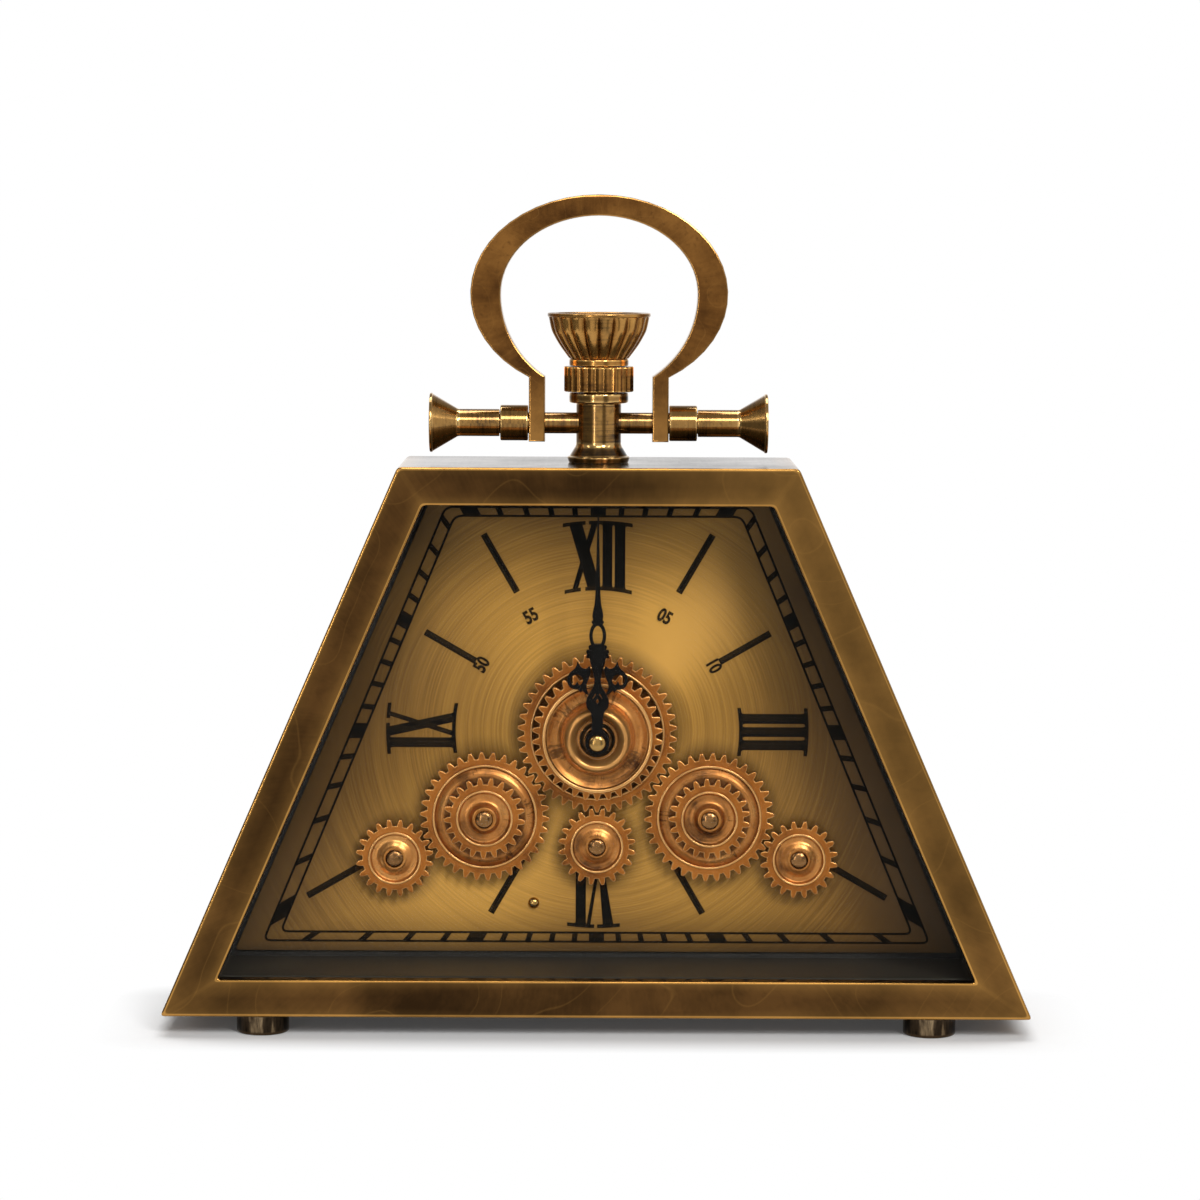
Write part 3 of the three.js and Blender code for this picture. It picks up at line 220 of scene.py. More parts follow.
def worn_metal(name, deep, body, light, bright, brush, shine, cloud=20, streaks=0.25, grime=0.5, relief=0.3,
               hairlines=0.0):
    """Aged metal: brush lines, cloudy patina, painted shade in hollows, hairlines, and bright worn edges."""
    deep, body, light, bright = (tone(*colour) for colour in (deep, body, light, bright))
    material, tree, shader = new_finish(name)
    place = own_place(tree)
    lines = mottle(tree, brush_place(tree, *brush), 1, 6, 0.65)
    clouds = mottle(tree, place, cloud, 5, 0.6)
    lined = reckon(tree, "MULTIPLY_ADD", lines, streaks, reckon(tree, "MULTIPLY", clouds, 1 - streaks))
    tint = ramp(tree, lined, list(zip(TINT_STOPS, (deep, body, light))))
    if hairlines:
        swirl = mottle(tree, place, 0.6 * cloud, 1.5)
        saw = reckon(tree, "PINGPONG", reckon(tree, "MULTIPLY", swirl, HAIRLINE_TURNS), 0.5)
        tint = blend(tree, spread(tree, saw, 0, HAIRLINE_WIDTH, hairlines, 0), tint, bright)
    specks = mottle(tree, place, SPECK_FINENESS * cloud, 4)
    dirty = blend(tree, spread(tree, specks, *SPECK_RANGE, 0, grime), tint, deep)
    rub_and_painted_light = add(tree, "ShaderNodeAttribute", attribute_name="rub_and_painted_light").outputs["Fac"]
    patchy = spread(tree, clouds, *CLOUD_RANGE, *PATCH_RUB)
    # Positive rub also carries painted highlights: the right bar of the case and the legs of the bow.
    rub_and_painted_highlight = reckon(tree, "MULTIPLY", spread(tree, rub_and_painted_light, 0, 1, 0, 1), patchy)
    # Below nothing, the rub darkens toward the deep tone: painted shade in valleys and under upper wheels,
    # and darker tooth walls.
    hollow_darkening = spread(tree, rub_and_painted_light, -1, 0, HOLLOW_DARKENING_COVER, 0)
    polish, dullness = shine
    gloss = spread(tree, lined, *CLOUD_RANGE, dullness, polish)
    fill(tree, shader, {
        "Base Color": blend(tree, hollow_darkening, blend(tree, rub_and_painted_highlight, dirty, bright), deep),
        "Roughness": reckon(tree, "MULTIPLY", gloss, spread(tree, rub_and_painted_highlight, 0, 1, 1, RUB_POLISH)),
        "Metallic": 1,
        "Normal": bumped(tree, lines, relief, BRUSH_DEPTH),
    })
    return material


def shown(name, parts, body, node=None):
    """Makes one piece from its parts, each a shell with its material, and lets it ride on a body."""
    points, faces, grain, rub_and_painted_light, slots, materials = [], [], [], [], [], []
    for (part_points, part_faces, part_grain, part_rub_and_painted_light), material in parts:
        first = len(points)
        if material not in materials:
            materials.append(material)
        points += part_points
        faces += [tuple(first + corner for corner in face) for face in part_faces]
        grain += [value for face in part_grain for corner in face for value in corner]
        rub_and_painted_light += part_rub_and_painted_light
        slots += [materials.index(material)] * len(part_faces)
    mesh = bpy.data.meshes.new(name)
    mesh.from_pydata(points, [], faces)
    for material in materials:
        mesh.materials.append(material)
    mesh.polygons.foreach_set("material_index", slots)
    mesh.uv_layers.new(name="grain").data.foreach_set("uv", grain)
    mesh.attributes.new("rub_and_painted_light", "FLOAT", "POINT").data.foreach_set("value", rub_and_painted_light)
    mesh.shade_smooth()
    mesh.set_sharp_from_angle(angle=SHARP_ANGLE)
    piece = bpy.data.objects.new(name, mesh)
    bpy.context.scene.collection.objects.link(piece)
    even = piece.modifiers.new("even_normals", "WEIGHTED_NORMAL")
    even.keep_sharp = True
    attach(piece, body)
    if node:
        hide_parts(node)
    return piece


def case_corner(index, inset):
    """A corner of the case outline, drawn in by the inset: left foot, right foot, right top, left top."""
    height = case_low.z + inset if index % 4 < 2 else case_high.z - inset
    half = BASE_HALF - case_slope * (height - case_low.z) - inset * math.hypot(1, case_slope)
    return Vector((half if index % 4 in (1, 2) else -half, height))


def round_corner(index, inset, t):
    """A point on the rounded corner of the case."""
    corners = [case_corner(index + step, inset) for step in (-1, 0, 1)]
    return past_corner(*corners, CORNER_RADIUS, t)


def case_bar(index, profile):
    """One side of the case between two mitres, as a sweep of the profile of insets and depths."""
    ends = [(index, 0.5), (index, 0.75), (index, 1), (index + 1, 0), (index + 1, 0.25), (index + 1, 0.5)]
    rows = [[round_corner(corner, inset, t) for inset, _, _ in profile] for corner, t in ends]
    inner_shares = (BAR_FADE, 0.5, 1 - BAR_FADE)
    rows[3:3] = [[a.lerp(b, share) for a, b in zip(rows[2], rows[3])] for share in inner_shares]
    shares = (0, 0, 0, *inner_shares, 1, 1, 1)
    fold_rub = (*FOLD_RUB, 0, 0, 0, *reversed(FOLD_RUB))
    points, rub_and_painted_light = [], []
    for row, rub, share in zip(rows, fold_rub, shares):
        # The painted light of a bar runs from its middle to that of its nearest corner.
        nearest = PAINTED_CORNER_LIGHT[index if share < 0.5 else (index + 1) % 4]
        bar_light = PAINTED_BAR_LIGHT[index] + (nearest - PAINTED_BAR_LIGHT[index]) * abs(2 * share - 1)
        for place, (inset, depth, edge) in zip(row, profile):
            points.append((place.x, case_low.y + depth, place.y))
            from_middle = 2 * inset / FRAME_WIDTH - 1
            face_rub_and_light = bar_light + (INNER_RUB if from_middle > 0 else OUTER_RUB) * from_middle ** 2
            corner = rub if inset < FOLD_ROUNDING else MITRE_RUB * rub
            rub_and_painted_light.append(max(EDGE_RUB * edge, corner) + (face_rub_and_light if depth < FACE_DEPTH else 0))
    runs = [0.0]
    for (_, a_depth, _), (_, b_depth, _), a, b in zip(profile, profile[1:], rows[0], rows[0][1:]):
        runs.append(runs[-1] + math.hypot(b_depth - a_depth, (b - a).length))
    runs.append(runs[-1] + WALL)
    count = len(profile)
    faces, grain = [], []
    for row in range(len(rows) - 1):
        start, end = ((rows[row + step][0] - rows[0][0]).length + 3 * index * BASE_HALF for step in (0, 1))
        here, following = row * count, (row + 1) * count
        for i in range(count):
            after = (i + 1) % count
            faces.append((here + i, here + after, following + after, following + i))
            grain.append([(runs[i], start), (runs[i + 1], start), (runs[i + 1], end), (runs[i], end)])
    return points, faces, grain, rub_and_painted_light


case_profile = softened([
    (WALL, depth_of_case, FOLD_ROUNDING),
    (WALL, FRAME_THICKNESS, FOLD_ROUNDING),
    (FRAME_WIDTH - LIP_THICKNESS, FRAME_THICKNESS, FOLD_ROUNDING),
    (FRAME_WIDTH - LIP_THICKNESS, LIP_DEPTH, FOLD_ROUNDING),
    (FRAME_WIDTH, LIP_DEPTH, FOLD_ROUNDING),
    (FRAME_WIDTH, 0, INNER_EDGE_ROUNDING),
    *((share * FRAME_WIDTH, 0, 0) for share in (0.75, 0.5, 0.25)),
    (0, 0, EDGE_ROUNDING),
    (0, depth_of_case, EDGE_ROUNDING),
], closed=True)
antique_brass = worn_metal(
    "antique_brass", (48, 32, 16), (68, 46, 23), (92, 63, 32), (198, 147, 76), brush=(30, 700),
    shine=(0.11, 0.21), streaks=0.15, grime=0.25, relief=0.1, hairlines=0.08)
shown("case", [(case_bar(i, case_profile), antique_brass) for i in range(4)], "case", "case_shell")


# Feet: four short turned buttons of polished dark brass, each screwed into the bottom of the case.
# Their lower edge is rounded and their sides are turned smooth.
FEET = ("foot_front_left", "foot_front_right", "foot_rear_left", "foot_rear_right")
FOOT_EDGE = 0.9 * MM
# Depth at which a valley of flutes or ribs reaches full painted shade.
VALLEY_SHADE_DEPTH = 1.8 * MM
ON_AXIS = 1e-7
UP = Matrix.Identity(3)


def turned(profile, spot, facing, segments=96, swell=None):
    """A lathe shell of (radius, height, rub) points, its axis through the spot and turned to the facing."""
    points, rub_and_painted_light, rings, runs = [], [], [], [0.0]
    for row, (radius, height, rub) in enumerate(profile):
        count = 1 if radius < ON_AXIS else segments
        rings.append((len(points), count))
        for i in range(count):
            angle = 2 * math.pi * i / segments
            inward = swell(angle, row) if swell else 0
            reach = radius + inward
            local = Vector((reach * math.cos(angle), reach * math.sin(angle), height))
            points.append(tuple(Vector(spot) + facing @ local))
            # Valleys cut in by the swell get painted shade, deeper valleys darker.
            rub_and_painted_light.append(rub + inward / VALLEY_SHADE_DEPTH)
        if row:
            runs.append(runs[-1] + math.dist(profile[row][:2], profile[row - 1][:2]))
    around = 2 * math.pi * max(radius for radius, _, _ in profile)
    faces, grain = [], []
    for row in range(len(profile) - 1):
        (low, low_count), (high, high_count) = rings[row:row + 2]
        start, end = runs[row:row + 2]
        for i in range(segments if max(low_count, high_count) > 1 else 0):
            after = (i + 1) % segments
            left, right = (around * step / segments for step in (i, i + 1))
            corners = [(low + i % low_count, (left, start)), (low + after % low_count, (right, start)),
                       (high + after % high_count, (right, end)), (high + i % high_count, (left, end))]
            kept = [corner for n, corner in enumerate(corners) if corner[0] != corners[n - 1][0]]
            faces.append(tuple(corner[0] for corner in kept))
            grain.append([corner[1] for corner in kept])
    return points, faces, grain, rub_and_painted_light


def turned_piece(name, node, profile, spot, facing, material, body="case", segments=96, swell=None):
    """One piece turned from one material, standing for its solid."""
    return shown(name, [(turned(profile, spot, facing, segments, swell), material)], body, node)


def size_of(node):
    """The width, depth and height of a solid of the frame."""
    return [end - start for start, end in zip(*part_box(node))]


# The pale vertical streaks up the sides of the feet are painted highlights.
dark_bronze_painted_glints = worn_metal(
    "dark_bronze_painted_glints", (22, 17, 12), (62, 50, 37), (168, 144, 110), (76, 61, 44), brush=(260, 30),
    shine=(0.1, 0.2), streaks=0.9)
for foot in FEET:
    low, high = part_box(foot)
    reach = size_of(foot)[1] / 2
    foot_top = case_low.z - low.z
    profile = softened([(0, 0, 0), (reach, 0, FOOT_EDGE), (reach, foot_top, FOLD_ROUNDING), (0, foot_top, 0)])
    spot = ((low.x + high.x) / 2, (low.y + high.y) / 2, low.z)
    turned_piece(f"{foot}_button", foot, profile, spot, UP, dark_bronze_painted_glints)


# Glass: one flat float pane with ground edges, held between the lip of the frame and the liner.
# It is clear, with a trace of dust that dulls its shine in patches.
GLASS_TINT = (0.97, 0.985, 0.98, 1)
GLASS_PASSING = (0.96, 0.97, 0.965, 1)
GLASS_IOR = 1.45
CLEARNESS = 0.97
DUST = (0.5, 0.8, 0.0, 0.002)


def dress(node, material):
    """Gives a solid of the frame its finish."""
    solid = frame["nodes"][node]
    solid.data.materials.clear()
    solid.data.materials.append(material)
    return solid


def shared(tree, share, first, second):
    """A surface between two others."""
    return add(tree, "ShaderNodeMixShader", {0: share, 1: first, 2: second}).outputs["Shader"]


glass, tree, shader = new_finish("clear_glass")
dust = spread(tree, mottle(tree, own_place(tree), 30, 5), *DUST)
fill(tree, shader, {"Base Color": GLASS_TINT, "Transmission Weight": 1, "IOR": GLASS_IOR, "Roughness": dust})
rays = add(tree, "ShaderNodeLightPath").outputs
passing = reckon(tree, "MAXIMUM", rays["Is Shadow Ray"], rays["Is Diffuse Ray"])
clear = add(tree, "ShaderNodeBsdfTransparent", {"Color": GLASS_PASSING}).outputs["BSDF"]
pane = shared(tree, spread(tree, passing, 0, 1, CLEARNESS, 1), shader.outputs["BSDF"], clear)
fill(tree, tree.nodes["Material Output"], {"Surface": pane})
dress("glass_pane", glass)


# Liner and mounting board: a bent steel wall round the dial and the fibre board behind it.
# Both are sprayed matt black and a little scuffed.
SCUFF_SCALE = 45
SCUFF_RANGE = (0.5, 0.75)
DULLNESS_SPREAD = 0.1
GRAIN_STRENGTH = 0.4


def painted(name, colour, scuff, dullness, grain_scale, relief):
    """Sprayed paint or moulded plastic with a fine grain and scuffs."""
    material, tree, shader = new_finish(name)
    place = own_place(tree)
    grain = mottle(tree, place, grain_scale, 4)
    scuffed = spread(tree, mottle(tree, place, SCUFF_SCALE, 6, 0.7), *SCUFF_RANGE, 0, 1)
    dulled = spread(tree, grain, 0.3, 0.7, dullness - DULLNESS_SPREAD, dullness + DULLNESS_SPREAD)
    fill(tree, shader, {
        "Base Color": blend(tree, scuffed, tone(*colour), tone(*scuff)),
        "Roughness": dulled,
        "Normal": bumped(tree, grain, GRAIN_STRENGTH, relief),
    })
    return material


black_paint = painted("black_paint", (52, 48, 42), (64, 59, 51), 0.5, 1800, 0.03 * MM)
black_board = painted("black_board", (30, 28, 26), (44, 40, 36), 0.75, 900, 0.08 * MM)
dress("liner", black_paint)
dress("mounting_board", black_board)


# Dial plate: a sheet of brass, brushed in circles about the hands and lacquered.
# Painted shade darkens its edges and rings the wheels, and two painted highlight fans cross its brush lines.
dial_low, dial_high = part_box("dial_plate")
axes = {joint["name"]: Vector(joint["pos_m"]) for joint in frame["joints"]}
dial_centre = axes["minute_hand_turn"]
# The bright tone of the brush lines is also the colour of the painted highlight fans.
DIAL_BRIGHT_AND_HIGHLIGHT = tone(216, 159, 72)
DIAL_BODY = tone(130, 90, 38)
# The dark colour that the painted shade and the uneven tone of the dial go toward.
DIAL_SHADE_AND_MOTTLE = tone(68, 48, 24)
DIAL_STOPS = (0.2, 0.9)
RINGS_PER_METRE = 1500
SWEEP_PER_METRE = 14
# Painted highlight: two narrow wedges, each at a lean from upright, with its strength.
PAINTED_HIGHLIGHT_WEDGES = ((38, 0.55), (-34, 0.3))
HIGHLIGHT_WEDGE_SHARPNESS = 8
# Painted light falloff by radius: a little brighter near the middle, painted shade towards the far corners.
PAINTED_LIGHT_FALLOFF = (25 * MM, 130 * MM, 0.1, -0.5)
# Painted shade towards the edges of the dial, reaching less far at the top and the foot.
PAINTED_EDGE_SHADE_REACH = 60 * MM
PAINTED_EDGE_SHADE = 0.93
EDGE_SHADE_CURVE = 1.5
# Shifts the painted edge shade so that it falls deeper on the right.
EDGE_SHADE_SHIFT = 5 * MM
LEVEL_SHARE = 3
CLOUD_SCALE = 16
UNEVENNESS = (0.3, -0.15)
BRUSH_DULLNESS = (0.3, 0.7, 0.42, 0.28)
RING_RELIEF = (0.25, 0.06 * MM)
# Painted shadow round each wheel: its darkness, and how far it reaches past the teeth.
PAINTED_WHEEL_SHADOW = 0.6
WHEEL_SHADOW_WIDTH = 6 * MM
CENTRE_REACH = 31 * MM
SIDE_REACH = 25 * MM
SMALL_REACH = 15 * MM
WHEEL_REACH = {"centre": CENTRE_REACH, "left": SIDE_REACH, "right": SIDE_REACH, "bottom": SMALL_REACH,
               "far_left": SMALL_REACH, "far_right": SMALL_REACH}


def reckon_place(tree, operation, *values):
    """The result of one step of arithmetic on places."""
    made = add(tree, "ShaderNodeVectorMath", dict(enumerate(values)), operation=operation)
    return made.outputs["Value" if operation in ("LENGTH", "DOT_PRODUCT") else "Vector"]


def split(tree, place):
    """The X, Y and Z of a place."""
    return add(tree, "ShaderNodeSeparateXYZ", {0: place}).outputs


def aside(tree, place, axis):
    """The step in the plane of the dial from an axis to a place."""
    step = reckon_place(tree, "SUBTRACT", place, (axis.x, 0, axis.z))
    return reckon_place(tree, "MULTIPLY", step, (1, 0, 1))


dial_brass, tree, shader = new_finish("dial_brass")
place = own_place(tree)
flat = aside(tree, place, dial_centre)
radius = reckon_place(tree, "LENGTH", flat)
rings = reckon(tree, "MULTIPLY", radius, RINGS_PER_METRE)
sweep = split(tree, reckon_place(tree, "MULTIPLY", flat, (SWEEP_PER_METRE,) * 3))
circled = add(tree, "ShaderNodeCombineXYZ", {0: rings, 1: sweep["X"], 2: sweep["Z"]}).outputs["Vector"]
lines = mottle(tree, circled, 1, 5, 0.7)
arms = reckon_place(tree, "NORMALIZE", flat)
lines_and_painted_highlights = lines
# Painted highlight: the wedges lift the brush lines toward the bright tone along two leaning ways.
for lean, strength in PAINTED_HIGHLIGHT_WEDGES:
    way = (math.sin(math.radians(lean)), 0, math.cos(math.radians(lean)))
    either_way = reckon(tree, "ABSOLUTE", reckon_place(tree, "DOT_PRODUCT", arms, way))
    narrow = reckon(tree, "POWER", either_way, HIGHLIGHT_WEDGE_SHARPNESS)
    lines_and_painted_highlights = reckon(tree, "MULTIPLY_ADD", narrow, strength, lines_and_painted_highlights)
lit = reckon(tree, "ADD", lines_and_painted_highlights, spread(tree, radius, *PAINTED_LIGHT_FALLOFF))
# The brushed tint carries the painted highlight fans and the painted light falloff.
brushed = ramp(tree, lit, list(zip(DIAL_STOPS, (DIAL_BODY, DIAL_BRIGHT_AND_HIGHLIGHT))))
# Painted shade by the gap to the nearest edge of the dial.
spot = split(tree, place)
folded = reckon(tree, "ABSOLUTE", reckon(tree, "ADD", spot["X"], EDGE_SHADE_SHIFT))
leaning = reckon(tree, "MULTIPLY_ADD", spot["Z"], case_slope, folded)
side_gap = reckon(tree, "SUBTRACT", dial_high.x + case_slope * dial_low.z, leaning)
top_gap = reckon(tree, "SUBTRACT", dial_high.z, spot["Z"])
foot_gap = reckon(tree, "SUBTRACT", spot["Z"], dial_low.z)
level_gap = reckon(tree, "MULTIPLY", reckon(tree, "MINIMUM", top_gap, foot_gap), LEVEL_SHARE)
edge_gap = reckon(tree, "MINIMUM", level_gap, side_gap)
edge_and_wheel_shade = reckon(tree, "POWER", spread(tree, edge_gap, 0, PAINTED_EDGE_SHADE_REACH, PAINTED_EDGE_SHADE, 0), EDGE_SHADE_CURVE)
# Painted shadow on the dial round each wheel, fading outwards from its teeth.
for gear, reach in WHEEL_REACH.items():
    distance = reckon_place(tree, "LENGTH", aside(tree, place, axes[f"{gear}_gear_spin"]))
    wheel_shadow = spread(tree, distance, reach - WHEEL_SHADOW_WIDTH / 3, reach + WHEEL_SHADOW_WIDTH, PAINTED_WHEEL_SHADOW, 0)
    edge_and_wheel_shade = reckon(tree, "MAXIMUM", edge_and_wheel_shade, wheel_shadow)
# The dial's own uneven tone is added to the painted shade.
uneven = reckon(tree, "MULTIPLY_ADD", mottle(tree, place, CLOUD_SCALE, 4), *UNEVENNESS)
shade_and_mottle = reckon(tree, "ADD", edge_and_wheel_shade, uneven, use_clamp=True)
fill(tree, shader, {
    "Base Color": blend(tree, shade_and_mottle, brushed, DIAL_SHADE_AND_MOTTLE),
    "Roughness": spread(tree, lines, *BRUSH_DULLNESS),
    "Metallic": 0.28,
    "Specular IOR Level": 0.25,
    "Anisotropic": 0.85,
    "Anisotropic Rotation": 0.25,
    "Tangent": add(tree, "ShaderNodeTangent", direction_type="RADIAL", axis="Y").outputs["Tangent"],
    "Normal": bumped(tree, lines, *RING_RELIEF),
})
dress("dial_plate", dial_brass)


# Dial print: black enamel ink on the lacquer, in one pass, a little worn.
# A minute track follows the case outline, with Roman numerals at the quarters and bars at the other hours.
INK_HEIGHT = 0.05 * MM
INK_LAYER = 0.004 * MM
TRACK_OUTER_FOOT = (129.9 * MM, 27.9 * MM)
TRACK_INNER_FOOT = (123.2 * MM, 31.5 * MM)
TRACK_INNER_TOP = (55.4 * MM, 194.4 * MM)
TRACK_OUTER_TOP = (58.9 * MM, 197.8 * MM)
TRACK_LINE = 0.85 * MM
TRACK_LAP = 0.3
TRACK_CORNER = 3 * MM
MINUTE_BLOCK = 2.1 * MM
HOUR_BLOCK = 5.9 * MM
HOUR_BAR_HALF = 1.3 * MM
HOUR_BARS = {1: (62.5, 88.5), 2: (54.5, 77.1), 4: (104, 130.2), 5: (56, 82.5)}
NUMERAL_FOOT = 55 * MM
NUMERAL_HEIGHT = 27
VI_FOOT = 50.4 * MM
SERIF = 1.45
SERIF_STEPS = 6
BRACKET = 0.8
MINUTES = {1: "05", 2: "10", 10: "50", 11: "55"}
DIGIT_RADIUS = 49.6 * MM
DIGIT_HEIGHT = 4.9 * MM
DIGIT_SHARE = 0.7
DIGIT_WIDENING = 0.78
DIGIT_BOLDNESS = 0.26 * MM
ink_front = dial_low.y - INK_HEIGHT


def tuned(material, values):
    """Sets values on the main shader of a finish."""
    fill(material.node_tree, material.node_tree.nodes["Principled BSDF"], values)
    return material


ink = tuned(painted("dial_ink", (17, 14, 11), (26, 21, 16), 0.5, 1500, 0.02 * MM),
            {"Specular IOR Level": 0.05})


def polar(angle, across, up):
    """A place on the dial: up from the centre along a clock angle, and across to the right of it."""
    x = dial_centre.x + up * math.sin(angle) + across * math.cos(angle)
    z = dial_centre.z + up * math.cos(angle) - across * math.sin(angle)
    return Vector((x, z))


def printed(name, shapes):
    """One print of flat shapes, each a loop of places on the dial that runs left round."""
    points, faces, grain = [], [], []
    for layer, shape in enumerate(shapes):
        area = sum(a.x * b.y - b.x * a.y for a, b in zip(shape, shape[1:] + shape[:1]))
        loop = shape if area > 0 else shape[::-1]
        faces.append(tuple(range(len(points), len(points) + len(loop))))
        points += [(spot.x, ink_front - INK_LAYER * layer, spot.y) for spot in loop]
        grain.append([(spot.x, spot.y) for spot in loop])
    return shown(name, [((points, faces, grain, [0.0] * len(points)), ink)], "case")


def track_frame(foot, top):
    """The four corners of a track line, left foot first."""
    return [Vector((-foot[0], foot[1])), Vector(foot), Vector(top), Vector((-top[0], top[1]))]


def toward(spot, corners):
    """Where the ray from the dial centre through a spot meets a line of the track."""
    start = Vector((dial_centre.x, dial_centre.z))
    way = (spot - start).normalized()
    meets = []
    for a, b in zip(corners, corners[1:] + corners[:1]):
        side = b - a
        cross = way.x * side.y - way.y * side.x
        if abs(cross) > 1e-9:
            gap = a - start
            reach = (gap.x * side.y - gap.y * side.x) / cross
            share = (gap.x * way.y - gap.y * way.x) / cross
            if reach > 0 and -1e-6 <= share <= 1 + 1e-6:
                meets.append(reach)
    return start + way * min(meets)


outer_track = track_frame(TRACK_OUTER_FOOT, TRACK_OUTER_TOP)
inner_track = track_frame(TRACK_INNER_FOOT, TRACK_INNER_TOP)
track_shapes = []
for corners in (outer_track, inner_track):
    line = [past_corner(corners[i - 1], corners[i], corners[(i + 1) % 4], TRACK_CORNER, t)
            for i in range(4) for t in (0, 0.25, 0.5, 0.75, 1)]
    for a, b in zip(line, line[1:] + line[:1]):
        side = (b - a).normalized() * TRACK_LINE / 2
        across = Vector((side.y, -side.x))
        lap = side * TRACK_LAP
        track_shapes.append([a - lap + across, b + lap + across, b + lap - across, a - lap - across])
for minute in range(60):
    angle = math.radians(6 * minute)
    width = HOUR_BLOCK if minute % 5 == 0 else MINUTE_BLOCK
    far = polar(angle, 0, BASE_HALF)
    inside = toward(far, inner_track)
    outside = toward(far, outer_track)
    half = Vector((math.cos(angle), -math.sin(angle))) * width / 2
    track_shapes.append([toward(inside - half, inner_track), toward(inside + half, inner_track),
                         toward(outside + half, outer_track), toward(outside - half, outer_track)])
printed("dial_print_track", track_shapes)

bar_shapes = []
for hour, (near, far) in HOUR_BARS.items():
    ends = ((-1, near), (1, near), (1, far), (-1, far))
    for angle in (math.radians(30 * hour), -math.radians(30 * hour)):
        bar_shapes.append([polar(angle, side * HOUR_BAR_HALF, up * MM) for side, up in ends])
printed("dial_print_bars", bar_shapes)


def letter_stroke(foot, top):
    """A straight stroke from its left and right end at the foot to those at the top."""
    return [(foot[0], 0), (foot[1], 0), (top[1], NUMERAL_HEIGHT), (top[0], NUMERAL_HEIGHT)]


def serif(left, right, level):
    """A thin bar that ends strokes at one level and follows the round of the dial."""
    steps = [left + (right - left) * step / SERIF_STEPS for step in range(SERIF_STEPS + 1)]
    return [(x, level) for x in steps] + [(x, level + SERIF) for x in reversed(steps)]


def bracket(edge, side, foot, way):
    """The small fillet between the edge of a stroke and a serif."""
    outer, inner = side * BRACKET, 0.25 * side * BRACKET
    return [(edge, foot), (edge + outer, foot), (edge + inner, foot + 0.25 * way * BRACKET),
            (edge, foot + way * BRACKET)]


def upright(left, right):
    """The numeral I: a thick stem with fillets to the serifs at both ends."""
    shapes = [letter_stroke((left, right), (left, right))]
    for edge, side in ((left, -1), (right, 1)):
        shapes += [bracket(edge, side, SERIF, 1), bracket(edge, side, top_serif, -1)]
    return shapes


top_serif = NUMERAL_HEIGHT - SERIF
numerals = {
    0: (NUMERAL_FOOT, [
        letter_stroke((-3.7, 1.4), (-11.5, -6.5)), letter_stroke((-10.3, -8.1), (-2.3, 0.2)),
        serif(-13.7, -4.9, top_serif), serif(-3.6, 13.3, top_serif), serif(-12.9, -6.6, 0),
        serif(-4.9, 13.1, 0), *upright(1.7, 5.5), *upright(6.4, 10.5)]),
    3: (NUMERAL_FOOT, [
        serif(-9.4, 9.4, 0), serif(-9.4, 9.4, top_serif),
        *upright(-7.1, -3.2), *upright(-1.9, 1.9), *upright(3.2, 7.1)]),
    6: (VI_FOOT, [
        letter_stroke((-2.2, -0.4), (-6.8, -2.5)), letter_stroke((-1.5, -0.4), (2.6, 4.2)),
        serif(-9.1, -0.2, top_serif), serif(0.9, 11.5, top_serif), serif(2.2, 10.6, 0), *upright(4.2, 8.2)]),
    9: (NUMERAL_FOOT, [
        letter_stroke((3.6, 7.4), (-2.4, 1.4)), letter_stroke((-2.4, -0.3), (6.2, 8.0)),
        serif(-8.7, 10.8, 0), serif(-9.2, 3.0, top_serif), serif(4.9, 10.9, top_serif),
        *upright(-6.5, -2.6)]),
}
for hour, (foot, shapes) in numerals.items():
    placed = []
    for shape in shapes:
        rises = [(x * MM, foot + up * MM) for x, up in shape]
        placed.append([polar(math.radians(30 * hour), x, up - x * x / (2 * up)) for x, up in rises])
    printed(f"dial_print_numeral_{hour}", placed)

for hour, digits in MINUTES.items():
    words = bpy.data.curves.new("digits", "FONT")
    words.body = digits
    words.size = DIGIT_HEIGHT / DIGIT_SHARE
    words.offset = DIGIT_BOLDNESS
    words.align_x = "CENTER"
    lettering = bpy.data.meshes.new_from_object(bpy.data.objects.new("digits", words))
    angle = math.radians(30 * hour)
    spots = [polar(angle, vertex.co.x * DIGIT_WIDENING, DIGIT_RADIUS + vertex.co.y)
             for vertex in lettering.vertices]
    shapes = [[spots[i] for i in face.vertices] for face in lettering.polygons]
    printed(f"dial_print_minutes_{digits}", shapes)


# Rivet: one small brass rivet with a domed head, low on the left of the dial.
# It is pressed through the dial and holds it to its board.
RIVET_EDGE = 0.2 * MM
DOME_RUB = 0.6
DOME_STEPS = 8
TO_FRONT = Matrix(((1, 0, 0), (0, 0, -1), (0, 1, 0)))
polished_brass = worn_metal(
    "polished_brass", (112, 78, 38), (156, 114, 58), (178, 134, 74), (206, 164, 100), brush=(60, 900),
    shine=(0.12, 0.26), cloud=60)


def dome(radius, foot, top):
    """The rounded upper end of a profile, from its edge to the axis."""
    turns = [math.pi / 2 * step / DOME_STEPS for step in range(DOME_STEPS)]
    rounds = [(radius * math.cos(turn), foot + (top - foot) * math.sin(turn), DOME_RUB) for turn in turns]
    return rounds + [(0.0, top, DOME_RUB)]


low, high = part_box("dial_rivet")
rivet_radius = size_of("dial_rivet")[2] / 2
rivet_spot = ((low.x + high.x) / 2, dial_low.y, (low.z + high.z) / 2)
profile = [(0, 0, 0), (rivet_radius, 0, 0)] + dome(rivet_radius, RIVET_EDGE, dial_low.y - low.y)
turned_piece("rivet_head", "dial_rivet", profile, rivet_spot, TO_FRONT, polished_brass,
             segments=48)


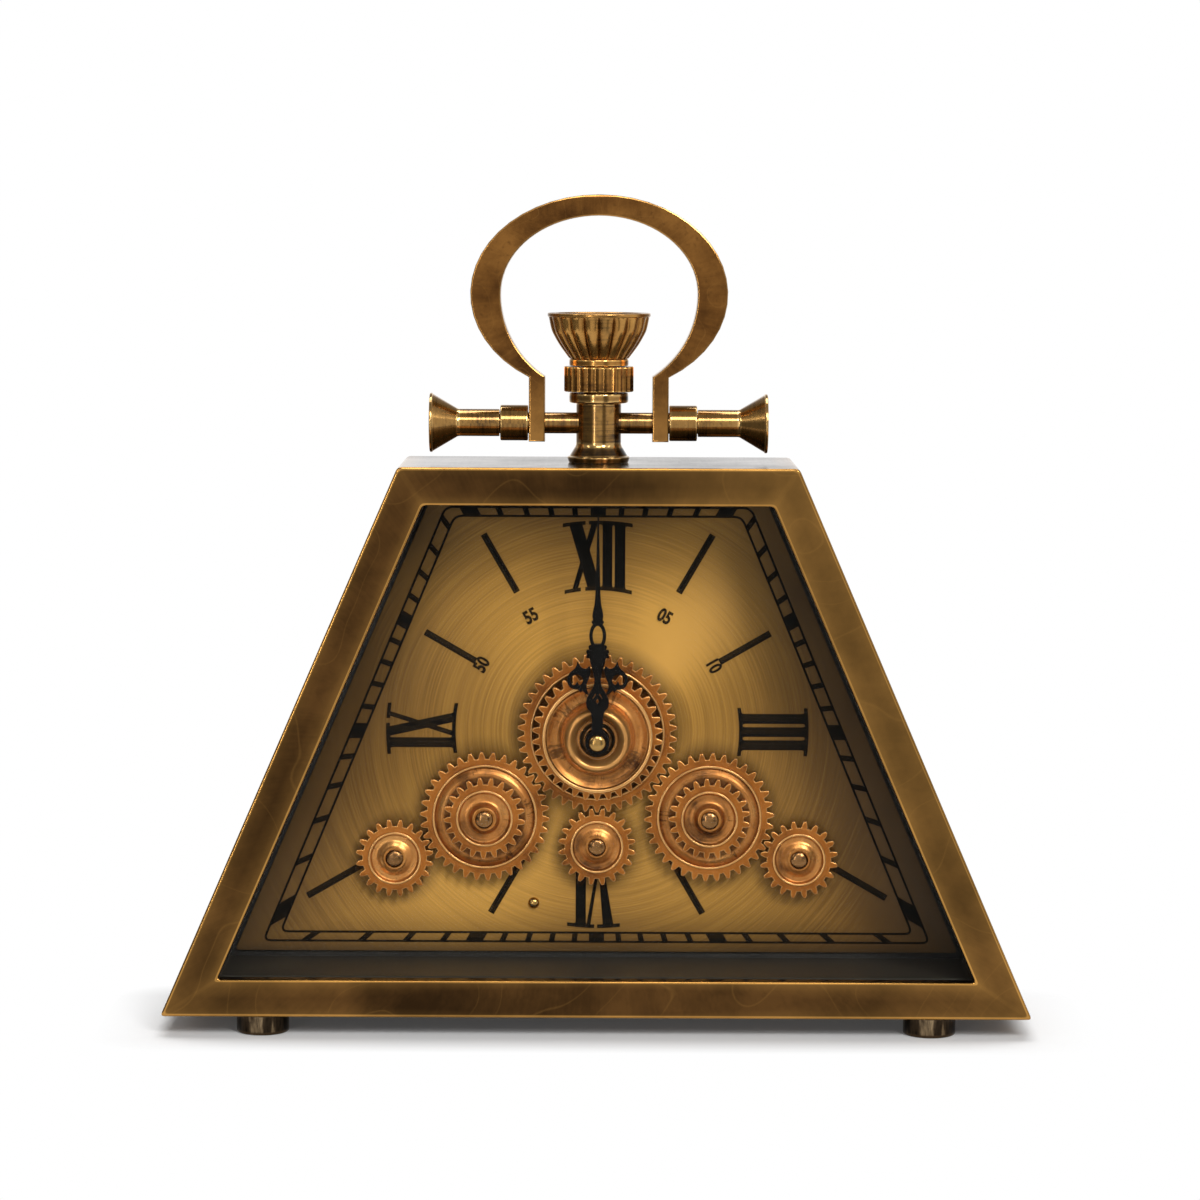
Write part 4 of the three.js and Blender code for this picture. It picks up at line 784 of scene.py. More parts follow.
# Wheels: blanked copper plates with cut teeth, each with a pressed dish that is burnished on its raised ring.
# The faces are left satin, the rings are polished, and a dark patina has settled in the dishes.
MODULE = 1.43 * MM
PRESSURE_ANGLE = math.radians(25)
ADDENDUM = 0.6 * MODULE
DEDENDUM = 1.2 * MODULE
BACKLASH = 0.4 * MM
FLANK_STEPS = 4
CENTRE_TEETH = 42
SIDE_TEETH = 34
SMALL_TEETH = 20
SIDE_UPPER_TEETH = 21
DRUM_TEETH = 34
PLATE = 2.4 * MM
TOOTH_BEVEL = 0.42 * MM
WELD = 0.001 * MM
BEVEL_ENDS = (0.1, 0.9)
RIM_INSET = 2.2 * MM
RING_WIDTH = 1.1 * MM
RING_SLOPE = 0.11 * MM
RING_ROUNDING = 0.495 * MM
RING_HEIGHT = 0.8 * MM
SIDE_RING_HEIGHT = 0.9 * MM
PIN_BORE = 2.8 * MM
BUSH_BORE = 5.3 * MM
HUB_WALL = 1.6 * MM
HUB_SLOPE = 0.2 * MM
HUB_ROUNDING = 0.24 * MM
UPPER_HUB = 4.7 * MM
SMALL_HUB = 2.7 * MM
SIDE_HUB_GAP = 0.2 * MM
CENTRE_HUB_GAP = 0.3 * MM
DISH_WALL = 0.5 * MM
DISH_DEPTH = 1.2 * MM
DISH_FOOT = 0.4 * MM
DISH_FLOOR = (0.12, 0.45)
DISH_RISE = (0.25, 0.4)
DOME_FOOT = 0.2
DOME_SIDE = (0.55, 0.35)
DOME_SHOULDER = 15.4 * MM
SHOULDER_DROP = 1.1 * MM
HUB_DROP = 0.9 * MM
# The side walls of the teeth are darkened toward the deep tone.
TOOTH_WALL_DARKENING = -0.7
# Painted shade on the dish under the teeth of an upper wheel.
PAINTED_SHADE_UNDER_TEETH = -0.85
SHADE_MARGIN = 0.2 * MM
BLOT_BRUSH = (900, 260)
BLOT_AREA = 110
BLOT_EDGE = 0.07
BLOT_DARKNESS = 0.8


def patina(name, deep, body, light, least):
    """Burnished copper with small dark blots of oxide that run out from the middle."""
    material = worn_metal(name, deep, body, light, (236, 178, 112), brush=(40, 700), shine=(0.24, 0.38),
                          cloud=45, grime=0.2, relief=0.1)
    tree = material.node_tree
    blots = mottle(tree, brush_place(tree, *BLOT_BRUSH), 1, 6, 0.7)
    both = reckon(tree, "MULTIPLY", blots, mottle(tree, own_place(tree), BLOT_AREA, 3))
    dark = spread(tree, both, least, least + BLOT_EDGE, 0, BLOT_DARKNESS)
    plain = tree.nodes["Principled BSDF"].inputs["Base Color"].links[0].from_socket
    return tuned(material, {"Base Color": blend(tree, dark, plain, tone(*deep))})


copper_face = worn_metal(
    "copper_face", (110, 60, 22), (164, 96, 36), (184, 112, 47), (240, 176, 104), brush=(70, 900),
    shine=(0.28, 0.42), cloud=45, grime=0.25, relief=0.1)
copper_ring = worn_metal(
    "copper_ring", (128, 74, 30), (186, 118, 54), (208, 142, 74), (238, 180, 112), brush=(30, 700),
    shine=(0.18, 0.32), cloud=50, grime=0.25, relief=0.1)
copper_dish = patina("copper_dish", (66, 37, 17), (186, 120, 60), (208, 146, 82), 0.33)
copper_trough = patina("copper_trough", (60, 34, 16), (182, 118, 58), (206, 144, 80), 0.27)
for copper in (copper_face, copper_ring, copper_dish, copper_trough):
    tuned(copper, {"Metallic": 0.7, "Specular IOR Level": 0.25})


def pitch_radius(teeth):
    """The radius on which a wheel rolls with its neighbour."""
    return teeth * MODULE / 2


def mesh_turn(driver_teeth, driver_turn, angle, teeth):
    """The turn of a wheel at an angle from its driver, whose teeth fall between those of the driver."""
    return angle + math.pi + math.pi / teeth + (angle - driver_turn) * driver_teeth / teeth


def toothed_outline(teeth, turn):
    """A wheel outline whose flanks follow an involute."""
    pitch = pitch_radius(teeth)
    base = pitch * math.cos(PRESSURE_ANGLE)

    def involute(radius):
        angle = math.acos(min(1, base / radius))
        return math.tan(angle) - angle

    half_pitch = math.pi / (2 * teeth) - BACKLASH / (2 * pitch)
    radii = [pitch - DEDENDUM + (ADDENDUM + DEDENDUM) * step / FLANK_STEPS for step in range(FLANK_STEPS + 1)]
    flank = [(radius, half_pitch + involute(pitch) - involute(max(radius, base))) for radius in radii]
    outline = []
    for tooth in range(teeth):
        middle = turn + tooth * 2 * math.pi / teeth
        outline += [(radius, middle - half) for radius, half in flank]
        outline += [(radius, middle + half) for radius, half in flank[::-1]]
    return [(radius * math.cos(angle), radius * math.sin(angle)) for radius, angle in outline]


def oval(half, rise, steps=96, centre=0):
    """A round loop, its middle at a height."""
    turns = [2 * math.pi * step / steps for step in range(steps)]
    return [(half * math.cos(turn), centre + rise * math.sin(turn)) for turn in turns]


def plate(loops, thickness, bevel, spot, facing, lay=None, wall=1.0):
    """A flat shell cut to an outline and holes, with bevelled edges, its rear face at the spot."""
    outline = bpy.data.curves.new("outline", "CURVE")
    outline.dimensions = "2D"
    outline.fill_mode = "BOTH"
    outline.extrude = thickness / 2 - bevel
    outline.bevel_depth = bevel
    outline.bevel_resolution = 1
    outline.offset = -bevel
    for loop in loops:
        spline = outline.splines.new("POLY")
        spline.points.add(len(loop) - 1)
        spline.points.foreach_set("co", [value for x, y in loop for value in (x, y, 0, 1)])
        spline.use_cyclic_u = True
    cut = bpy.data.meshes.new_from_object(bpy.data.objects.new("outline", outline))
    merged, order, points, rub_and_painted_light = {}, [], [], []
    for vertex in cut.vertices:
        key = tuple(round(value / WELD) for value in vertex.co)
        if key not in merged:
            merged[key] = len(points)
            local = vertex.co + Vector((0, 0, thickness / 2))
            points.append(tuple(Vector(spot) + facing @ local))
            below = thickness / 2 - abs(vertex.co.z)
            edge, end = (share * bevel for share in BEVEL_ENDS)
            rub_and_painted_light.append(0.0 if below < edge else 1.0 if below < end else wall)
        order.append(merged[key])
    around = max(math.hypot(vertex.co.x, vertex.co.y) for vertex in cut.vertices)
    lay = lay or (lambda x, y: (around * math.atan2(y, x), math.hypot(x, y)))
    faces, grain = [], []
    for face in cut.polygons:
        corners = [order[i] for i in face.vertices]
        if len(set(corners)) == len(corners):
            faces.append(tuple(corners))
            grain.append([lay(*cut.vertices[i].co.xy) for i in face.vertices])
    return points, faces, grain, rub_and_painted_light


def toothed_plate(teeth, turn, hole, spot):
    """The plate of a wheel with its teeth and its round hole."""
    loops = [toothed_outline(teeth, turn), oval(hole, hole)]
    return plate(loops, PLATE, TOOTH_BEVEL, spot, TO_FRONT, wall=TOOTH_WALL_DARKENING)


def smoothed(points, steps, closed=False):
    """Places on a smooth curve through a few points, without the last point of an open one."""
    count = len(points)
    curve = []
    for i in range(count if closed else count - 1):
        near = [(i + step) % count if closed else min(max(i + step, 0), count - 1) for step in (-1, 0, 1, 2)]
        a, b, c, d = (Vector(points[index]) for index in near)
        for step in range(steps):
            t = step / steps
            curve.append(0.5 * (2 * b + (c - a) * t + (2 * a - 5 * b + 4 * c - d) * t ** 2
                                + (3 * b - a - 3 * c + d) * t ** 3))
    return curve


def flowing(points, rub=0.0, steps=6):
    """A smooth profile through a few (radius, height) points, evenly rubbed."""
    return [(spot.x, spot.y, rub) for spot in smoothed(points, steps)] + [(*points[-1], rub)]


def rear_of(node, joint):
    """The middle of the rear face of a solid that lies about the axis of a joint."""
    return (axes[joint].x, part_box(node)[1].y, axes[joint].z)


def wheel(name, body, teeth, turn, bore, ring_height, hub_height, domed=False, upper_teeth=0):
    """A toothed plate with a burnished ring, a dished or domed middle and a hub, standing for its solid."""
    spot = rear_of(name, f"{body}_spin")
    rim = pitch_radius(teeth) - DEDENDUM - RIM_INSET
    inner = rim - RING_WIDTH
    hub = bore + HUB_WALL
    ring_top = PLATE + ring_height
    ring = softened([
        (rim, PLATE - TOOTH_BEVEL, 0),
        (rim - RING_SLOPE, ring_top, RING_ROUNDING),
        (inner + RING_SLOPE, ring_top, RING_ROUNDING),
        (inner, PLATE - DISH_WALL, 0),
    ])
    if domed:
        reach = inner - DOME_SHOULDER
        share, climb = DOME_SIDE
        middle = [(inner - DOME_FOOT * reach, PLATE),
                  (inner - share * reach, PLATE + climb * (hub_height - PLATE)),
                  (inner - reach, hub_height - SHOULDER_DROP), (hub, hub_height - HUB_DROP)]
    else:
        reach = inner - hub
        floor = PLATE - DISH_DEPTH
        share, drop = DISH_RISE
        middle = [*((inner - part * reach, floor) for part in DISH_FLOOR),
                  (hub + share * reach, PLATE - drop * DISH_DEPTH), (hub + DISH_FOOT, hub_height - DISH_FOOT)]
    hub_edge = (hub - HUB_SLOPE, hub_height)
    # Under the teeth of an upper wheel the dish gets painted shade.
    shaded = pitch_radius(upper_teeth) + ADDENDUM + SHADE_MARGIN if upper_teeth else 0
    dish = [(radius, height, PAINTED_SHADE_UNDER_TEETH if radius < shaded else 0.0) for radius, height, _ in
            flowing([(inner, PLATE - DISH_WALL), *middle, hub_edge])]
    boss = softened([(*hub_edge, 0), (bore, hub_height, HUB_ROUNDING), (bore, 0, HUB_ROUNDING), (rim, 0, 0)])
    parts = [(toothed_plate(teeth, turn, inner, spot), copper_face)]
    for profile, copper in ((ring, copper_ring), (dish, copper_dish), (boss, copper_ring)):
        parts.append((turned(profile, spot, TO_FRONT), copper))
    return shown(f"{name}_copper", parts, body, name)


def bearing(first, second):
    """The angle on the dial from the axis of one wheel to that of another."""
    step = axes[f"{second}_spin"] - axes[f"{first}_spin"]
    return math.atan2(step.z, step.x)


def rise_of(upper, lower):
    """How far the rear face of one wheel lies in front of that of another."""
    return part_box(lower)[1].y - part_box(upper)[1].y


centre_turn = math.pi / 2
for side in ("left", "right"):
    gear, far_gear = f"{side}_gear", f"far_{side}_gear"
    side_turn = mesh_turn(CENTRE_TEETH, centre_turn, bearing("centre_gear", gear), SIDE_TEETH)
    far_turn = mesh_turn(SIDE_TEETH, side_turn, bearing(gear, far_gear), SMALL_TEETH)
    side_hub = rise_of(f"{side}_upper_wheel", f"{side}_wheel") - SIDE_HUB_GAP
    wheel(f"{side}_wheel", gear, SIDE_TEETH, side_turn, PIN_BORE, SIDE_RING_HEIGHT, side_hub, domed=True,
          upper_teeth=SIDE_UPPER_TEETH)
    wheel(f"{side}_upper_wheel", gear, SIDE_UPPER_TEETH, side_turn, PIN_BORE, RING_HEIGHT, UPPER_HUB)
    wheel(f"far_{side}_wheel", far_gear, SMALL_TEETH, far_turn, PIN_BORE, RING_HEIGHT, SMALL_HUB)
bottom_turn = mesh_turn(CENTRE_TEETH, centre_turn, bearing("centre_gear", "bottom_gear"), SMALL_TEETH)
wheel("bottom_wheel", "bottom_gear", SMALL_TEETH, bottom_turn, PIN_BORE, RING_HEIGHT, SMALL_HUB)
centre_hub = rise_of("centre_upper_wheel", "centre_wheel") - CENTRE_HUB_GAP
wheel("centre_wheel", "centre_gear", CENTRE_TEETH, centre_turn, BUSH_BORE, RING_HEIGHT, centre_hub,
      upper_teeth=DRUM_TEETH)


# Drum wheel and dome: a toothed copper plate with a rolled drum, and a spun dome that sits inside the drum.
# The dome has a fat burnished ring about a deep mouth, and tarnish in the trough outside the ring.
DRUM_RADIUS = 21.2 * MM
DRUM_WALL = 1.4 * MM
DRUM_TOP = 8.4 * MM
DRUM_ROUNDING = 0.7 * MM
BORE_ROUNDING = 0.2 * MM
DOME_MOUTH_RADIUS = 7.6 * MM
DOME_FLOOR = 7.5 * MM
MOUTH_ROUNDING = 0.1 * MM
RING_RUB = 0.35
TROUGH = ((19.2, 5.5), (17.6, 4.8), (15.8, 4.5), (14.6, 5.0))
FAT_RING = ((14.6, 5.0), (14.2, 6.4), (13.4, 9.0), (12.2, 11.3), (10.8, 12.4), (9.4, 11.8), (8.3, 10.5),
            (7.7, 9.4))


def drawn(points, across=MM, foot=0, rise=MM):
    """Points of an outline at their size, from a foot upwards."""
    return [(x * across, foot + up * rise) for x, up in points]


drum_spot = rear_of("centre_upper_wheel", "centre_gear_spin")
drum_inner = DRUM_RADIUS - DRUM_WALL
drum = softened([
    (DRUM_RADIUS, PLATE - TOOTH_BEVEL, 0),
    (DRUM_RADIUS, DRUM_TOP, DRUM_ROUNDING),
    (drum_inner, DRUM_TOP, DRUM_ROUNDING),
    (drum_inner, PLATE, 0),
    (BUSH_BORE, PLATE, BORE_ROUNDING),
    (BUSH_BORE, 0, BORE_ROUNDING),
    (DRUM_RADIUS, 0, 0),
])
drum_disc = toothed_plate(DRUM_TEETH, centre_turn, drum_inner, drum_spot)
shown("drum_wheel_copper", [(drum_disc, copper_face), (turned(drum, drum_spot, TO_FRONT), copper_ring)],
      "centre_gear", "centre_upper_wheel")

dome_spot = rear_of("centre_dome", "centre_gear_spin")
dome_edge = size_of("centre_dome")[2] / 2
trough = flowing(drawn(TROUGH))
bulge = flowing(drawn(FAT_RING), RING_RUB)
back_of_dome = softened([
    (BUSH_BORE, 0, BORE_ROUNDING),
    (dome_edge, 0, 0),
    (dome_edge, trough[0][1], BORE_ROUNDING),
    trough[0],
])
mouth = softened([
    bulge[-1],
    (DOME_MOUTH_RADIUS, bulge[-1][1], MOUTH_ROUNDING),
    (DOME_MOUTH_RADIUS, DOME_FLOOR, MOUTH_ROUNDING),
    (BUSH_BORE, DOME_FLOOR, 0),
    (BUSH_BORE, 0, 0),
])
dome_parts = [(turned(profile, dome_spot, TO_FRONT), copper) for profile, copper in (
    (back_of_dome, copper_ring), (trough, copper_trough), (bulge, copper_ring), (mouth, copper_dish))]
shown("centre_dome_copper", dome_parts, "centre_gear", "centre_dome")


# Pins: turned nickel bronze pins with domed heads, riveted through the board.
# The left one is the driven arbor; each has a collar that keeps its wheel off the dial.
PIN_RADIUS = 2.5 * MM
PIN_EDGE = 0.2 * MM
PIN_HEAD_RADIUS = 3.5 * MM
PIN_HEAD_HEIGHT = 2.2 * MM
PIN_HEAD_SIDE = 0.4
PIN_COLLAR = 5 * MM
COLLAR_GAP = 0.3 * MM
PINS = {"left_arbor": "left_gear", "right_pin": "right_gear", "bottom_pin": "bottom_gear",
        "far_left_pin": "far_left_gear", "far_right_pin": "far_right_gear"}
pin_metal = worn_metal(
    "pin_metal", (76, 50, 28), (116, 79, 46), (138, 97, 60), (160, 116, 74), brush=(40, 900),
    shine=(0.18, 0.3), cloud=90, grime=0.3, relief=0.1)
wheel_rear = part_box("left_wheel")[1].y
for pin, gear in PINS.items():
    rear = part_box(pin)[1].y
    top = size_of(pin)[1]
    head = top - PIN_HEAD_HEIGHT
    seat_foot = rear - dial_low.y + COLLAR_GAP
    seat_top = rear - wheel_rear - COLLAR_GAP
    profile = softened([
        (0, 0, 0),
        (PIN_RADIUS, 0, PIN_EDGE),
        (PIN_RADIUS, seat_foot, 0),
        (PIN_COLLAR, seat_foot, PIN_EDGE),
        (PIN_COLLAR, seat_top, PIN_EDGE),
        (PIN_RADIUS, seat_top, 0),
        (PIN_RADIUS, head, 0),
        (PIN_HEAD_RADIUS, head, 0),
    ]) + dome(PIN_HEAD_RADIUS, head + PIN_HEAD_SIDE * PIN_HEAD_HEIGHT, top)
    body = gear if pin == "left_arbor" else "case"
    turned_piece(f"{pin}_turned", pin, profile, rear_of(pin, f"{gear}_spin"), TO_FRONT,
                 pin_metal, body, 64)


# Movement: a black moulded quartz box held through the dial by its brass bush, a steel nut and a collar.
# The hour tube turns in the bush and the minute shaft in the tube; the motor has a box of the same kind.
TUBE_EDGE = 0.15 * MM
TUBE_BORE = 3.8 * MM
SHAFT_BORE = 2.3 * MM
MOULDED_EDGE = 0.5 * MM
MOULDED_WELD = 0.01 * MM
TUBES = {"movement_bush": ("case", TUBE_BORE, "polished_brass"),
         "bush_collar": ("case", BUSH_BORE, "pin_metal"),
         "hour_tube": ("hour", SHAFT_BORE, "polished_brass")}
moulded_plastic = painted("moulded_plastic", (24, 24, 26), (34, 34, 36), 0.55, 1600, 0.06 * MM)
zinc_steel = tuned(painted("zinc_steel", (150, 150, 146), (120, 118, 112), 0.35, 700, 0.03 * MM),
                   {"Metallic": 1})
blackened_brass = worn_metal(
    "blackened_brass", (14, 10, 8), (26, 19, 13), (40, 29, 20), (196, 138, 80), brush=(40, 900),
    shine=(0.25, 0.4), cloud=90, grime=0.3)
for tube, (body, bore, slot) in TUBES.items():
    _, length, width = size_of(tube)
    corners = ((bore, length), (bore, 0), (width / 2, 0), (width / 2, length))
    profile = softened([(*corner, TUBE_EDGE) for corner in corners], closed=True)
    turned_piece(f"{tube}_turned", tube, profile + profile[:1], rear_of(tube, "minute_hand_turn"),
                 TO_FRONT, blackened_brass, body, 64)
for box_node in ("movement_case", "motor_case"):
    box = dress(box_node, moulded_plastic)
    weld = box.modifiers.new("weld", "WELD")
    weld.merge_threshold = MOULDED_WELD
    edges = box.modifiers.new("moulded_edges", "BEVEL")
    edges.width = MOULDED_EDGE
    edges.segments = 3
    edges.limit_method = "ANGLE"
dress("bush_nut", zinc_steel)
dress("minute_shaft", zinc_steel)


# Hands: two ornate hands stamped from thin steel and lacquered black, pressed on the tube and on the shaft.
# Both have a pierced boss, a scalloped collar, a lyre and a spade point; the hour hand has a pair of leaves.
# A small domed brass nut on the end of the shaft holds them.
HAND_BEVEL = 0.12 * MM
LAYER = 0.006 * MM
HAND_HUB = 4.6 * MM
HUB_STEPS = 48
SHAFT_FOOT_HALF = 2.25 * MM
SHAFT_WAIST_HALF = 2.1 * MM
SHAFT_WAIST = (7.5 * MM, 9.5 * MM)
SHAFT_TOP = 12.3 * MM
BOSS_HEIGHT = 14.7 * MM
BOSS_HALF = 4.4 * MM
BOSS_RISE = 3.6 * MM
BOSS = ((0, -1), (0.6, -0.8), (0.92, -0.35), (1, 0.1), (0.93, 0.6), (0.74, 1.05), (0.48, 1.6), (0, 1.9))
DIAMOND = ((0, 0), (0.7, 1.1), (0, 2.2), (-0.7, 1.1))
SLIT = ((0.5, 18.3), (1.7, 16.6), (1.9, 17.0), (0.8, 18.9))
STEM_HALF = 1.2 * MM
STEM_WAIST = 24 * MM
STEM = ((1.1, -1.6), (1, 0), (1.25, 2))
STEM_HEAD = ((0.5, -5), (0.68, -2.4), (0.66, 0))
COLLAR_HEIGHT = 33.4 * MM
COLLAR = ((0.62, -1.4), (0.98, -1.3), (1, -0.6), (0.9, 0.1), (1, 1), (0.94, 1.9), (0.72, 2), (0.8, 2.7),
          (0.8, 3.1), (0.7, 3.7), (0.5, 3.8), (0.4, 4.3))
LYRE_CENTRE = 40.7 * MM
LYRE_HALF = 3.2 * MM
LYRE_RISE = 5.2 * MM
LYRE_BAND = 1.3 * MM
LYRE_STEPS = 40
SPADE_HALF = 2.1 * MM
SPADE_HEIGHT = 48.2 * MM
SPADE = ((0.5, -3.6), (0.9, -3), (1.15, -2.2), (0.85, -1.6), (1, 0), (0.9, 1.6), (0.6, 4.4))
NEEDLE_HALF = 0.95 * MM
WAIST_HEIGHT = 57 * MM
TIP_HALF = 0.25 * MM
LEAF = ((3.3, 18.0), (4.1, 20.4), (4.0, 22.4), (3.2, 24.4), (2.7, 26.4), (2.6, 28.0), (3.1, 29.0),
        (4.5, 28.1), (6.0, 28.5), (6.9, 29.6), (7.5, 30.9), (8.0, 29.4), (8.8, 28.0), (10.4, 26.6),
        (11.4, 24.6), (11.3, 22.4), (10.2, 20.7), (8.4, 20.1), (7.2, 19.9), (6.3, 18.9), (5.8, 19.7),
        (5.0, 18.9))
LEAF_EYE = ((5.5, 23.8), (6.4, 25.3), (8.0, 25.8), (9.7, 25.1), (10.3, 23.6), (9.6, 22.1), (8.5, 21.9),
            (7.7, 23.1), (6.9, 21.9), (6.0, 22.4))
LEAF_STEPS = 4
HOUR_COLLAR_HALF = 4.4 * MM
MINUTE_COLLAR_HALF = 3.2 * MM
NUT_SIDE = 0.4
hand_black = tuned(painted("hand_black", (11, 9, 8), (15, 12, 10), 0.4, 300, 0.001 * MM),
                   {"Specular IOR Level": 0.08})


def mirrored(half):
    """A loop from its right half, read from foot to top."""
    return half + [(-x, y) for x, y in reversed(half) if x > 1e-9]


def hand(node, body, bore, collar_half, leaves=()):
    """One stamped hand with its ornaments, standing for its solid."""
    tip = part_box(node)[1].z - dial_centre.z
    shaft = [(SHAFT_FOOT_HALF, 0.8 * HAND_HUB), *((SHAFT_WAIST_HALF, up) for up in SHAFT_WAIST),
             (1.2 * SHAFT_FOOT_HALF, SHAFT_TOP)]
    boss = drawn(BOSS, BOSS_HALF, BOSS_HEIGHT, BOSS_RISE)
    holes = [drawn(DIAMOND, MM, BOSS_HEIGHT)] + [drawn(SLIT, side * MM) for side in (-1, 1)]
    stem = [(0.48 * BOSS_HALF, BOSS_HEIGHT + 1.4 * BOSS_RISE), *drawn(STEM, STEM_HALF, STEM_WAIST),
            *drawn(STEM_HEAD, collar_half, COLLAR_HEIGHT)]
    lyre = [oval(LYRE_HALF - band, LYRE_RISE - band, LYRE_STEPS, LYRE_CENTRE) for band in (0, LYRE_BAND)]
    blade = [*drawn(SPADE, SPADE_HALF, SPADE_HEIGHT),
             (NEEDLE_HALF, min(WAIST_HEIGHT, 0.5 * (SPADE_HEIGHT + tip))), (TIP_HALF, tip)]
    collar = drawn(COLLAR, collar_half, COLLAR_HEIGHT)
    hub = [oval(HAND_HUB, HAND_HUB, HUB_STEPS), oval(bore, bore, HUB_STEPS)]
    outlines = [hub, [mirrored(shaft)], [mirrored(boss), *holes], [mirrored(stem)], [mirrored(collar)], lyre,
                [mirrored(blade)]]
    for side in leaves:
        leaf = [smoothed(drawn(points, side * MM), LEAF_STEPS, closed=True) for points in (LEAF, LEAF_EYE)]
        outlines.append(leaf)
    thickness = size_of(node)[1]
    spot = rear_of(node, "minute_hand_turn")
    parts = [(plate(loops, thickness - LAYER * i, HAND_BEVEL, spot, TO_FRONT), hand_black)
             for i, loops in enumerate(outlines)]
    return shown(f"{node}_stamped", parts, body, node)


hand("hour_hand", "hour", TUBE_BORE, HOUR_COLLAR_HALF, leaves=(-1, 1))
hand("minute_hand", "minute", SHAFT_BORE, MINUTE_COLLAR_HALF)

_, nut_height, nut_width = size_of("hand_nut")
profile = [(0, 0, 0), (nut_width / 2, 0, 0)] + dome(nut_width / 2, NUT_SIDE * nut_height, nut_height)
turned_piece("hand_nut_turned", "hand_nut", profile,
             rear_of("hand_nut", "minute_hand_turn"), TO_FRONT, polished_brass, "minute", 64)


# Rear of the boxes: a ribbed setting knob and two wrapped cells in their wells.
# The knob is moulded; the cells have a printed film with a pale band and bare steel ends.
KNOB_RIBS = 24
KNOB_RIB_DEPTH = 0.3 * MM
KNOB_SHAFT = 1.5 * MM
KNOB_HOLLOW = 0.5 * MM
KNOB_EDGE = 0.7 * MM
RIB_ZONE = 0.9
CELL_EDGE = 0.5 * MM
CELL_BAND = 0.78
BUTTON_HEIGHT = 1.2 * MM
BUTTON_RADIUS = 2.7 * MM
TO_BACK = Matrix(((-1, 0, 0), (0, 0, 1), (0, 1, 0)))
TO_RIGHT = Matrix(((0, 0, 1), (1, 0, 0), (0, 1, 0)))


def ribs(profile, count, depth):
    """Rounded ribs round a turned piece, where its profile comes near its full radius."""
    least = RIB_ZONE * max(radius for radius, _, _ in profile)

    def swell(angle, row):
        return -depth * abs(math.sin(count * angle / 2)) if profile[row][0] > least else 0
    return swell


_, knob_length, knob_width = size_of("setting_knob")
knob_radius = knob_width / 2
knob_head = knob_length / 2
profile = softened([
    (0, -knob_length, 0),
    (KNOB_SHAFT, -knob_length, 0),
    (KNOB_SHAFT, -knob_head, 0),
    (knob_radius, -knob_head, FOLD_ROUNDING),
    (knob_radius, 0, KNOB_EDGE),
    (0.7 * knob_radius, -KNOB_HOLLOW, FOLD_ROUNDING),
    (0, -KNOB_HOLLOW, 0),
])
turned_piece("setting_knob_ribbed", "setting_knob", profile,
             rear_of("setting_knob", "setting_knob_turn"), TO_BACK, moulded_plastic, "knob", 8 * KNOB_RIBS,
             ribs(profile, KNOB_RIBS, KNOB_RIB_DEPTH))
cell_film = painted("cell_film", (46, 78, 116), (60, 92, 128), 0.3, 400, 0.01 * MM)
cell_band = painted("cell_band", (196, 198, 196), (170, 172, 172), 0.3, 400, 0.01 * MM)
for cell, facing in (("movement_cell", TO_RIGHT), ("motor_cell", UP)):
    low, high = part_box(cell)
    length = max(size_of(cell))
    cell_radius = size_of(cell)[1] / 2
    start = (low + high) / 2 - facing @ Vector((0, 0, length / 2))
    shoulder = length - BUTTON_HEIGHT
    end_radius = cell_radius - CELL_EDGE
    band_foot = CELL_BAND * length
    steel_end = [(0, 0, 0), (end_radius, 0, 0)]
    film = [(end_radius, 0, 0), (cell_radius, CELL_EDGE, 0), (cell_radius, band_foot, 0)]
    band = [(cell_radius, band_foot, 0), (cell_radius, shoulder - CELL_EDGE, 0), (end_radius, shoulder, 0)]
    cap = softened([(end_radius, shoulder, 0), (BUTTON_RADIUS, shoulder, 0),
                    (BUTTON_RADIUS, length, FOLD_ROUNDING), (0, length, 0)])
    cell_parts = ((steel_end, zinc_steel), (film, cell_film), (band, cell_band), (cap, zinc_steel))
    shown(f"{cell}_wrapped", [(turned(profile, start, facing, 64), finish) for profile, finish in cell_parts],
          "case", cell)


# Rear cover: a flat sheet of aged brass with two windows, held by four zinc screws with crossed slots.
# The screws of the motor are the same, and the nut of the stem is zinc too.
SCREWS = ("cover_screw_low_left", "cover_screw_high_left", "cover_screw_low_right", "cover_screw_high_right",
          "motor_screw_low", "motor_screw_high")
SCREW_HEAD = 3 * MM
SCREW_HEAD_HEIGHT = 1.3 * MM
SCREW_SHANK = 1.2 * MM
SCREW_EDGE = 0.2 * MM
SLOT_HALF = 0.45 * MM
SLOT_REACH = 1.7 * MM
SLOT_DEPTH = 0.7 * MM
SLOT_EDGE = 0.15 * MM
ROLLED = (2400, 2400, 12)
ROLLED_SHARE = 0.3
SHEET_DULLNESS = (0.45, 0.3)
SHEET_RELIEF = (0.3, 0.08 * MM)
SHEET_STOPS = (0.36, 0.5, 0.66)

sheet_brass, tree, shader = new_finish("sheet_brass")
place = own_place(tree)
rolled = add(tree, "ShaderNodeMapping", {"Vector": place, "Scale": ROLLED}).outputs["Vector"]
lines = mottle(tree, rolled, 1, 5)
cloudy = mottle(tree, place, 18, 6, 0.65)
lined = reckon(tree, "MULTIPLY_ADD", cloudy, 1 - ROLLED_SHARE, reckon(tree, "MULTIPLY", lines, ROLLED_SHARE))
sheet_tones = (tone(78, 54, 27), tone(112, 80, 42), tone(146, 107, 58))
fill(tree, shader, {
    "Base Color": ramp(tree, lined, list(zip(SHEET_STOPS, sheet_tones))),
    "Roughness": spread(tree, lined, *CLOUD_RANGE, *SHEET_DULLNESS),
    "Metallic": 1,
    "Normal": bumped(tree, lines, *SHEET_RELIEF),
})
dress("rear_cover", sheet_brass)

